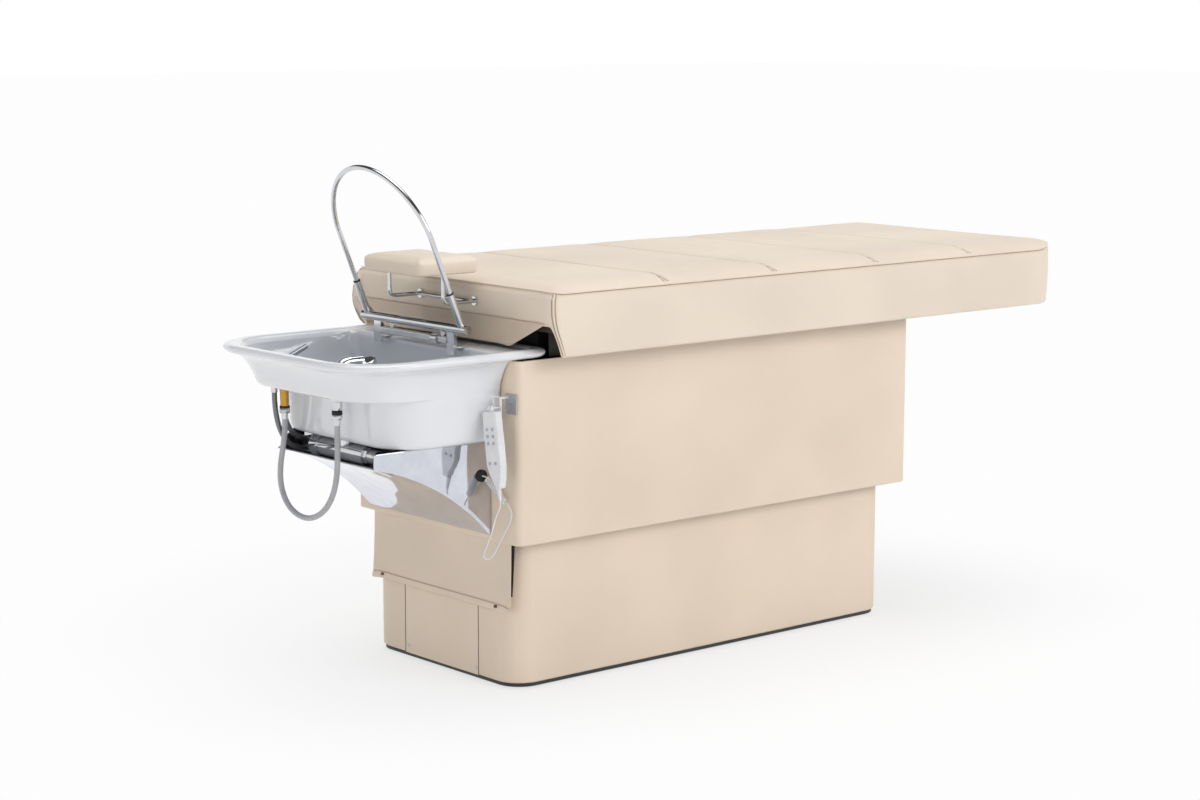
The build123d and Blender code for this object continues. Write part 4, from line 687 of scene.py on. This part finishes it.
def ring_normals(loop):
    """Outward directions in plan of a counter-clockwise loop."""
    out = []
    for k in range(len(loop)):
        before = Vector(loop[k - 1][:2])
        after = Vector(loop[(k + 1) % len(loop)][:2])
        along = (after - before).normalized()
        out.append(Vector((along.y, -along.x)))
    return out


def cover_piece(name, columns, rows, top, profile, body, slot, low_z, cap_z, subdivide=1):
    """Grid top with a wall hung from its border and a floor. The profile gives each ring's
    share of the drop, its push outward, and whether it lies at the floor's height instead."""
    nx, ny = len(columns), len(rows)
    points = []
    for x, width in columns:
        for t in rows:
            points.append((x, width * t, top(x, width * t)))
    faces = []
    for i in range(nx - 1):
        for j in range(ny - 1):
            a = i * ny + j
            faces.append((a, a + ny, a + ny + 1, a + 1))
    border = [i * ny for i in range(nx)]
    border += [(nx - 1) * ny + j for j in range(1, ny)]
    border += [i * ny + ny - 1 for i in range(nx - 2, -1, -1)]
    border += [j for j in range(ny - 2, 0, -1)]
    loop = [points[k] for k in border]
    normals = ring_normals(loop)
    previous = border
    for share, offset, inner in profile:
        start = len(points)
        for (x, y, z), out in zip(loop, normals):
            drop = z - low_z(x, y)
            place_z = cap_z if inner else z - share * drop
            push = offset(share, x, y) if callable(offset) else offset
            points.append((x + out.x * push, y + out.y * push, place_z))
        current = list(range(start, start + len(loop)))
        for k in range(len(loop)):
            after = (k + 1) % len(loop)
            faces.append((previous[k], current[k], current[after], previous[after]))
        previous = current
    place = {}
    for index, key in enumerate(border):
        place[key] = previous[index]
    for i in range(1, nx - 1):
        near, far = points[place[i * ny]], points[place[i * ny + ny - 1]]
        for j in range(1, ny - 1):
            share = (rows[j] + 1) / 2
            place[i * ny + j] = len(points)
            points.append(tuple(n + (f - n) * share for n, f in zip(near, far)))
    for i in range(nx - 1):
        for j in range(ny - 1):
            a = i * ny + j
            faces.append((place[a], place[a + 1], place[a + ny + 1], place[a + ny]))
    return add_piece(name, points, faces, body, slot, subdivide)


def mattress_piece():
    x0, x1, half = -566.0, 1015.0, 345.0
    head_radius, foot_radius = 21, 96
    thread_rise, fork_rise = 3.3, 1.9
    columns = cover_columns(x0, x1, head_radius, foot_radius, half, CHANNELS)
    near = [0, 2, 4.5, 8, 12, 17, 23, 30, 38, 48, 60, 75, 92]
    rows = [-1 + d / half for d in near]
    rows += [-0.66 + 1.32 * k / 26 for k in range(27)]
    rows += [1 - d / half for d in reversed(near)]

    def surface(x, y):
        return SEAM_Z + mattress_top(x, y, x0, x1, half)

    def low_z(x, y):
        sweep = min(max((x + 567) / 17, 0), 1) ** 0.8
        return 778.2 + (709 - 778.2) * sweep

    def bulge(share, x, y):
        head = 1 + 1.5 * (1 - ease((x + 566) / 20))
        wave = 0.9 * noise.noise(Vector((x / 170, y / 170, share * 1.5)))
        if x < x0 + 3:
            wave += 4.0 * noise.noise(Vector((1.0, y / 52, share * 0.9)))
        if y > half - 30:
            near_head = 1 - ease((x - x0) / 90)
            wave += 16 * ease(share) * near_head / max(math.sin(math.pi * share), 0.3)
        return (5 * math.sin(math.pi * min(0.12 + share * 0.86, 1.0)) ** 0.7 * head
                + wave * math.sin(math.pi * min(share, 1)))

    profile = [(0.005, 2.2, False), (0.014, 3.2, False), (0.024, 2.6, False), (0.031, 0.4, False),
               (0.039, 0.2, False), (0.048, 2.0, False), (0.085, 3.4, False)]
    profile += [(s, bulge, False) for s in (0.14, 0.22, 0.32, 0.42, 0.52, 0.62, 0.72, 0.82, 0.90)]
    profile += [(0.955, 2.2, False), (0.985, 1.0, False), (1.0, -1.2, False), (0.99, -4.2, False),
                (0.95, -5.4, False), (0.7, -5.6, False), (0, -5.8, True), (0, -30, True)]
    cover = cover_piece("mattress_cover", columns, rows, surface, profile, "upper",
                        "cream_leather", low_z, 778.0, subdivide=0)
    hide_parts("mattress_cushion", "mattress_valance")

    for number, c in enumerate(CHANNELS):
        middle = [(c, y, surface(c, y) + thread_rise)
                  for y in np.linspace(-half + FORK_REACH, half - FORK_REACH, 40)]
        add_tube(f"channel_stitch_{number}", middle, 1.3, "upper", "cream_leather", 6, skin=thread)
        for end in (-1, 1):
            for way in (-1, 1):
                path = []
                for edge in (FORK_REACH, 44, 38, 32, 26, 20, 14, 9):
                    x, y = c + way * fork(edge), end * (half - edge)
                    path.append((x, y, surface(x, y) + fork_rise))
                add_tube(f"fork_stitch_{number}_{end + 1}_{way + 1}", path, 0.8, "upper",
                         "cream_leather", 6, skin=thread)
    border = [(x, -w) for x, w in columns] + [(x, w) for x, w in reversed(columns)]
    outward = ring_normals([(x, y, 0) for x, y in border])
    seam = [(x + out.x * 0.9, y + out.y * 0.9, surface(x, y) - 4.8) for (x, y), out in
            zip(border, outward)]
    rings = tube_rings(seam + seam[:1], 0.75, 6)[:-1]
    add_piece("edge_stitch", flat(rings), stack_faces(len(rings), 6, closed=True), "upper",
              "cream_leather", skin=thread)
    for side in (-1, 1):
        lines = [[], [], []]
        for z, angle in ((839, 37), (828, 36), (812, 36), (796, 37), (780, 40), (768, 45),
                         (756, 52), (744, 61), (732, 70), (722, 79), (713, 87)):
            for line, turn in zip(lines, (0, -7, 7)):
                cosine = math.cos(math.radians(angle + turn))
                sine = math.sin(math.radians(angle + turn))
                x = x0 + head_radius - head_radius * cosine
                y = side * (half - head_radius + head_radius * sine)
                high = surface(x, y)
                share = min((high - z) / (high - low_z(x, y)), 1)
                push = bulge(share, x, y) * ease(share / 0.14) + 0.5
                line.append((x - push * cosine, y + side * push * sine, z))
        add_tube(f"corner_welt_{side + 1}", lines[0], 2.0, "upper", "cream_leather", 8)
        for number, line in enumerate(lines[1:]):
            add_tube(f"corner_stitch_{side + 1}_{number}", line, 0.8, "upper", "cream_leather", 6,
                     skin=thread)


mattress_piece()


def headrest_piece():
    x0, x1, half = -726.0, -574.0, 98.5
    columns = cover_columns(x0, x1, 14, 14, half, (), 9)
    near = [0, 1.5, 3.5, 6, 9.5, 14, 20, 28]
    rows = [-1 + d / half for d in near]
    rows += [-0.6 + 1.2 * k / 12 for k in range(13)]
    rows += [1 - d / half for d in reversed(near)]

    def top(x, y):
        edge = min(half - abs(y), x - x0 + 1, x1 - x + 1)
        rise = 10 * (1 - (1 - min(max(edge, 0) / 34, 1)) ** 2.6)
        return 893.5 + rise + 0.5 * noise.noise(Vector((x / 50, y / 50, 4.0)))

    def bulge(share, x, y):
        return 4.2 * math.sin(math.pi * min(0.2 + share * 0.75, 1)) ** 0.8

    profile = [(0.05, 1.5, False), (0.12, bulge, False), (0.25, bulge, False), (0.4, bulge, False),
               (0.55, bulge, False), (0.7, bulge, False), (0.85, 3.0, False), (0.95, 1.4, False),
               (1.0, -1.5, False), (1.0, -8, False)]
    pad = cover_piece("headrest_pad", columns, rows, top, profile, "headrest", "cream_leather",
                      lambda x, y: 865.0, 865.0)
    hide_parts("headrest_cushion")


headrest_piece()

# Leather sheets: flap between mattress and bowl, apron in front of the base


def sheet_piece(name, grid, thickness, body, slot, subdivide=1, skin=None):
    """Closed thin body on both sides of a grid of points, rows of equal length."""
    grid = np.array(grid, float)
    along = np.gradient(grid, axis=0)
    across = np.gradient(grid, axis=1)
    normal = np.cross(along, across)
    normal /= np.linalg.norm(normal, axis=2, keepdims=True)
    nu, nv = grid.shape[:2]
    front = grid + normal * thickness / 2
    back = grid - normal * thickness / 2
    points = [tuple(p) for p in front.reshape(-1, 3)] + [tuple(p) for p in back.reshape(-1, 3)]
    faces = []
    shift = nu * nv
    for i in range(nu - 1):
        for j in range(nv - 1):
            a = i * nv + j
            faces.append((a, a + nv, a + nv + 1, a + 1))
            faces.append((shift + a, shift + a + 1, shift + a + nv + 1, shift + a + nv))
    border = [i * nv for i in range(nu)] + [(nu - 1) * nv + j for j in range(1, nv)]
    border += [i * nv + nv - 1 for i in range(nu - 2, -1, -1)] + list(range(nv - 2, 0, -1))
    for k in range(len(border)):
        a, b = border[k], border[(k + 1) % len(border)]
        faces.append((a, shift + a, shift + b, b))
    return add_piece(name, points, faces, body, slot, subdivide, skin=skin)


def flap_piece():
    grid = []
    columns, rows = 61, 15
    for row in range(rows):
        v = row / (rows - 1)
        line = []
        for k in range(columns):
            u = -1 + 2 * k / (columns - 1)
            half = 322 - 104 * v
            y = u * half
            tip = ease((abs(u) - 0.80) / 0.20)
            drop = 52.5 + 1.8 * tip
            z = 777.6 - drop * v
            x = -573.2 - 9 * v ** 1.3 - 4 * v * tip
            x += 1.2 * math.sin(y / 46) * v + 0.8 * noise.noise(Vector((y / 60, v * 2, 1.0)))
            line.append((x, y, z))
        grid.append(line)
    flap = sheet_piece("bowl_flap", grid, 2.4, "upper", "beige_leather", skin=shaded)
    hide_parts("head_flap")


flap_piece()


def apron_piece():
    grid = []
    columns, rows, hem_row = 51, 25, 22
    near_half, far_half = 250, 237
    snap_y, snap_z = 202, 176
    for row in range(rows):
        v = row / (rows - 1)
        line = []
        for k in range(columns):
            u = -1 + 2 * k / (columns - 1)
            flare = 1 + 0.014 * v ** 3
            y = u * (near_half if u < 0 else far_half) * flare
            z = 358 - 192 * v - 3.0 * ease((abs(u) - 0.9) / 0.1) * v ** 2
            x = -607.4 - 5.0 * v ** 2 * ease((abs(u) - 0.72) / 0.28)
            drift = noise.noise(Vector((y / 90, v * 1.5, 7.0)))
            x -= 1.3 * v * (1 + math.sin(y / 71 + 1.0)) + v * drift
            line.append((x, y, z))
        grid.append(line)
    apron = sheet_piece("front_apron", grid, 2.2, "upper", "beige_leather")
    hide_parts("lower_apron")
    hem = [[(x - 2.0, y, z) for x, y, z in line] for line in grid[hem_row:]]
    sheet_piece("apron_hem", hem, 1.8, "upper", "beige_leather")
    stitch = [(x - 3.0, y, z - 1.5) for x, y, z in grid[hem_row]]
    add_tube("hem_stitch", stitch[1:-1], 0.7, "upper", "beige_leather", 6, skin=hem_thread)
    points, faces = [], []
    for y in (-snap_y, snap_y):
        ends = [(-610, y, snap_z), (-616.2, y, snap_z)]
        snap_points, snap_faces = closed_ends(tube_rings(ends, 3.2, 20))
        faces += [tuple(k + len(points) for k in face) for face in snap_faces]
        points += list(snap_points)
    snaps = add_piece("hem_snaps", points, faces, "upper", "bright_steel", skin=snap_metal)
    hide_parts("apron_snaps")
    # A near-black strip behind the apron's near edge and showing past it: painted shade in the gap
    # beside the apron's edge
    edge = [line[0] for line in grid[5:20]]
    strip = []
    for row, (x, y, z) in enumerate(edge):
        width = 7.5 * (1 - row / 17)
        strip.append([(x + 2.4, y + 3 - (3 + width) * k / 3, z) for k in range(4)])
    sheet_piece("apron_edge_painted_shade", strip, 1.2, "upper", "beige_leather", 0, skin=joint_and_shade_dark)


apron_piece()
cowl_pieces()


def panel_joints():
    """Dark joints beside the base's access panel."""
    panel = nodes["access_panel"]
    corners = [panel.matrix_world @ Vector(c) / MM for c in panel.bound_box]
    low = [min(c[k] for c in corners) for k in range(3)]
    high = [max(c[k] for c in corners) for k in range(3)]
    for number, y in enumerate((low[1], high[1])):
        line = [(low[0] - 0.1, y, z) for z in np.linspace(low[2] + 1, high[2] - 1, 6)]
        add_tube(f"panel_joint_{number}", line, 0.8, "base", "beige_leather", 6, skin=joint_and_shade_dark)


panel_joints()

# Stage and light


def stage_piece():
    size = 40.0
    mesh = bpy.data.meshes.new("studio_floor")
    mesh.from_pydata([(-size, -size, 0), (size, -size, 0), (size, size, 0), (-size, size, 0)], [],
                     [(0, 1, 2, 3)])
    floor = bpy.data.objects.new("studio_floor", mesh)
    bpy.context.scene.collection.objects.link(floor)
    made = Nodes("studio_floor")
    tree = made.tree
    lit = made.add("ShaderNodeBsdfDiffuse")
    lit.inputs["Color"].default_value = (0.93, 0.93, 0.93, 1)
    glow = made.add("ShaderNodeEmission")
    glow.inputs["Color"].default_value = (0.985, 0.985, 0.985, 1)
    glow.inputs["Strength"].default_value = 1.0
    path = made.add("ShaderNodeLightPath")
    mirrored = made.add("ShaderNodeMath", operation="MAXIMUM")
    made.link(path.outputs["Is Glossy Ray"], mirrored.inputs[0])
    made.link(path.outputs["Is Transmission Ray"], mirrored.inputs[1])
    far = made.add("ShaderNodeVectorMath", operation="LENGTH")
    made.link(made.place, far.inputs[0])
    share = made.ranged(far.outputs["Value"], 0.68, 1.0, 0.6, 1.5)
    direct = made.add("ShaderNodeMath", operation="MULTIPLY")
    made.link(path.outputs["Is Camera Ray"], direct.inputs[0])
    made.link(share, direct.inputs[1])
    both = made.add("ShaderNodeMath", operation="MAXIMUM")
    made.link(direct.outputs[0], both.inputs[0])
    made.link(mirrored.outputs[0], both.inputs[1])
    mix = made.add("ShaderNodeMixShader")
    made.link(both.outputs[0], mix.inputs["Fac"])
    made.link(lit.outputs[0], mix.inputs[1])
    made.link(glow.outputs[0], mix.inputs[2])
    made.link(mix.outputs[0], tree.nodes["Material Output"].inputs["Surface"])
    mesh.materials.append(made.material)


def world_light(strength):
    world = bpy.data.worlds.new("studio")
    bpy.context.scene.world = world
    world.use_nodes = True
    tree = world.node_tree
    back = tree.nodes["Background"]
    back.inputs["Color"].default_value = (0.97, 0.985, 1.0, 1)
    back.inputs["Strength"].default_value = strength
    white = tree.nodes.new("ShaderNodeBackground")
    white.inputs["Color"].default_value = (1, 1, 1, 1)
    white.inputs["Strength"].default_value = 1.0
    coords = tree.nodes.new("ShaderNodeTexCoord")
    split = tree.nodes.new("ShaderNodeSeparateXYZ")
    tree.links.new(coords.outputs["Generated"], split.inputs[0])
    glossy = tree.nodes.new("ShaderNodeBackground")
    ramp = tree.nodes.new("ShaderNodeValToRGB")
    ramp.color_ramp.elements[0].position = 0.0
    ramp.color_ramp.elements[0].color = (0.95, 0.95, 0.95, 1)
    ramp.color_ramp.elements[1].position = 1.0
    ramp.color_ramp.elements[1].color = (0.92, 0.92, 0.93, 1)
    for place, value in ((0.31, 0.90), (0.41, 0.08), (0.80, 0.05), (0.90, 0.62)):
        element = ramp.color_ramp.elements.new(place)
        element.color = (value, value, value, 1)
    tree.links.new(split.outputs["Z"], ramp.inputs["Fac"])
    tree.links.new(ramp.outputs["Color"], glossy.inputs["Color"])
    path = tree.nodes.new("ShaderNodeLightPath")
    first = tree.nodes.new("ShaderNodeMixShader")
    second = tree.nodes.new("ShaderNodeMixShader")
    tree.links.new(path.outputs["Is Glossy Ray"], first.inputs["Fac"])
    tree.links.new(back.outputs[0], first.inputs[1])
    tree.links.new(glossy.outputs[0], first.inputs[2])
    seen = tree.nodes.new("ShaderNodeMath")
    seen.operation = "MAXIMUM"
    tree.links.new(path.outputs["Is Camera Ray"], seen.inputs[0])
    tree.links.new(path.outputs["Is Transmission Ray"], seen.inputs[1])
    tree.links.new(seen.outputs[0], second.inputs["Fac"])
    tree.links.new(first.outputs[0], second.inputs[1])
    tree.links.new(white.outputs[0], second.inputs[2])
    tree.links.new(second.outputs[0], tree.nodes["World Output"].inputs["Surface"])


def area_light(name, place, target, size, power):
    light = bpy.data.lights.new(name, "AREA")
    light.shape = "RECTANGLE"
    light.size, light.size_y = size
    light.energy = power
    obj = bpy.data.objects.new(name, light)
    bpy.context.scene.collection.objects.link(obj)
    obj.location = place
    obj.rotation_euler = (Vector(target) - Vector(place)).to_track_quat("-Z", "Y").to_euler()
    return obj


stage_piece()
world_light(0.55)
area_light("key", (1.6, -5.2, 3.4), (0.1, 0, 0.6), (3.2, 2.4), 121)
area_light("top", (0.2, 0.4, 5.2), (0.1, 0, 0.5), (4.0, 3.0), 98)
fill = area_light("fill", (-3.1, -1.0, 0.35), (-0.6, 0, 0.25), (1.4, 0.6), 8)
fill.data.color = (1.0, 0.92, 0.84)
fill.visible_glossy = False
bpy.context.scene.view_settings.view_transform = "Standard"
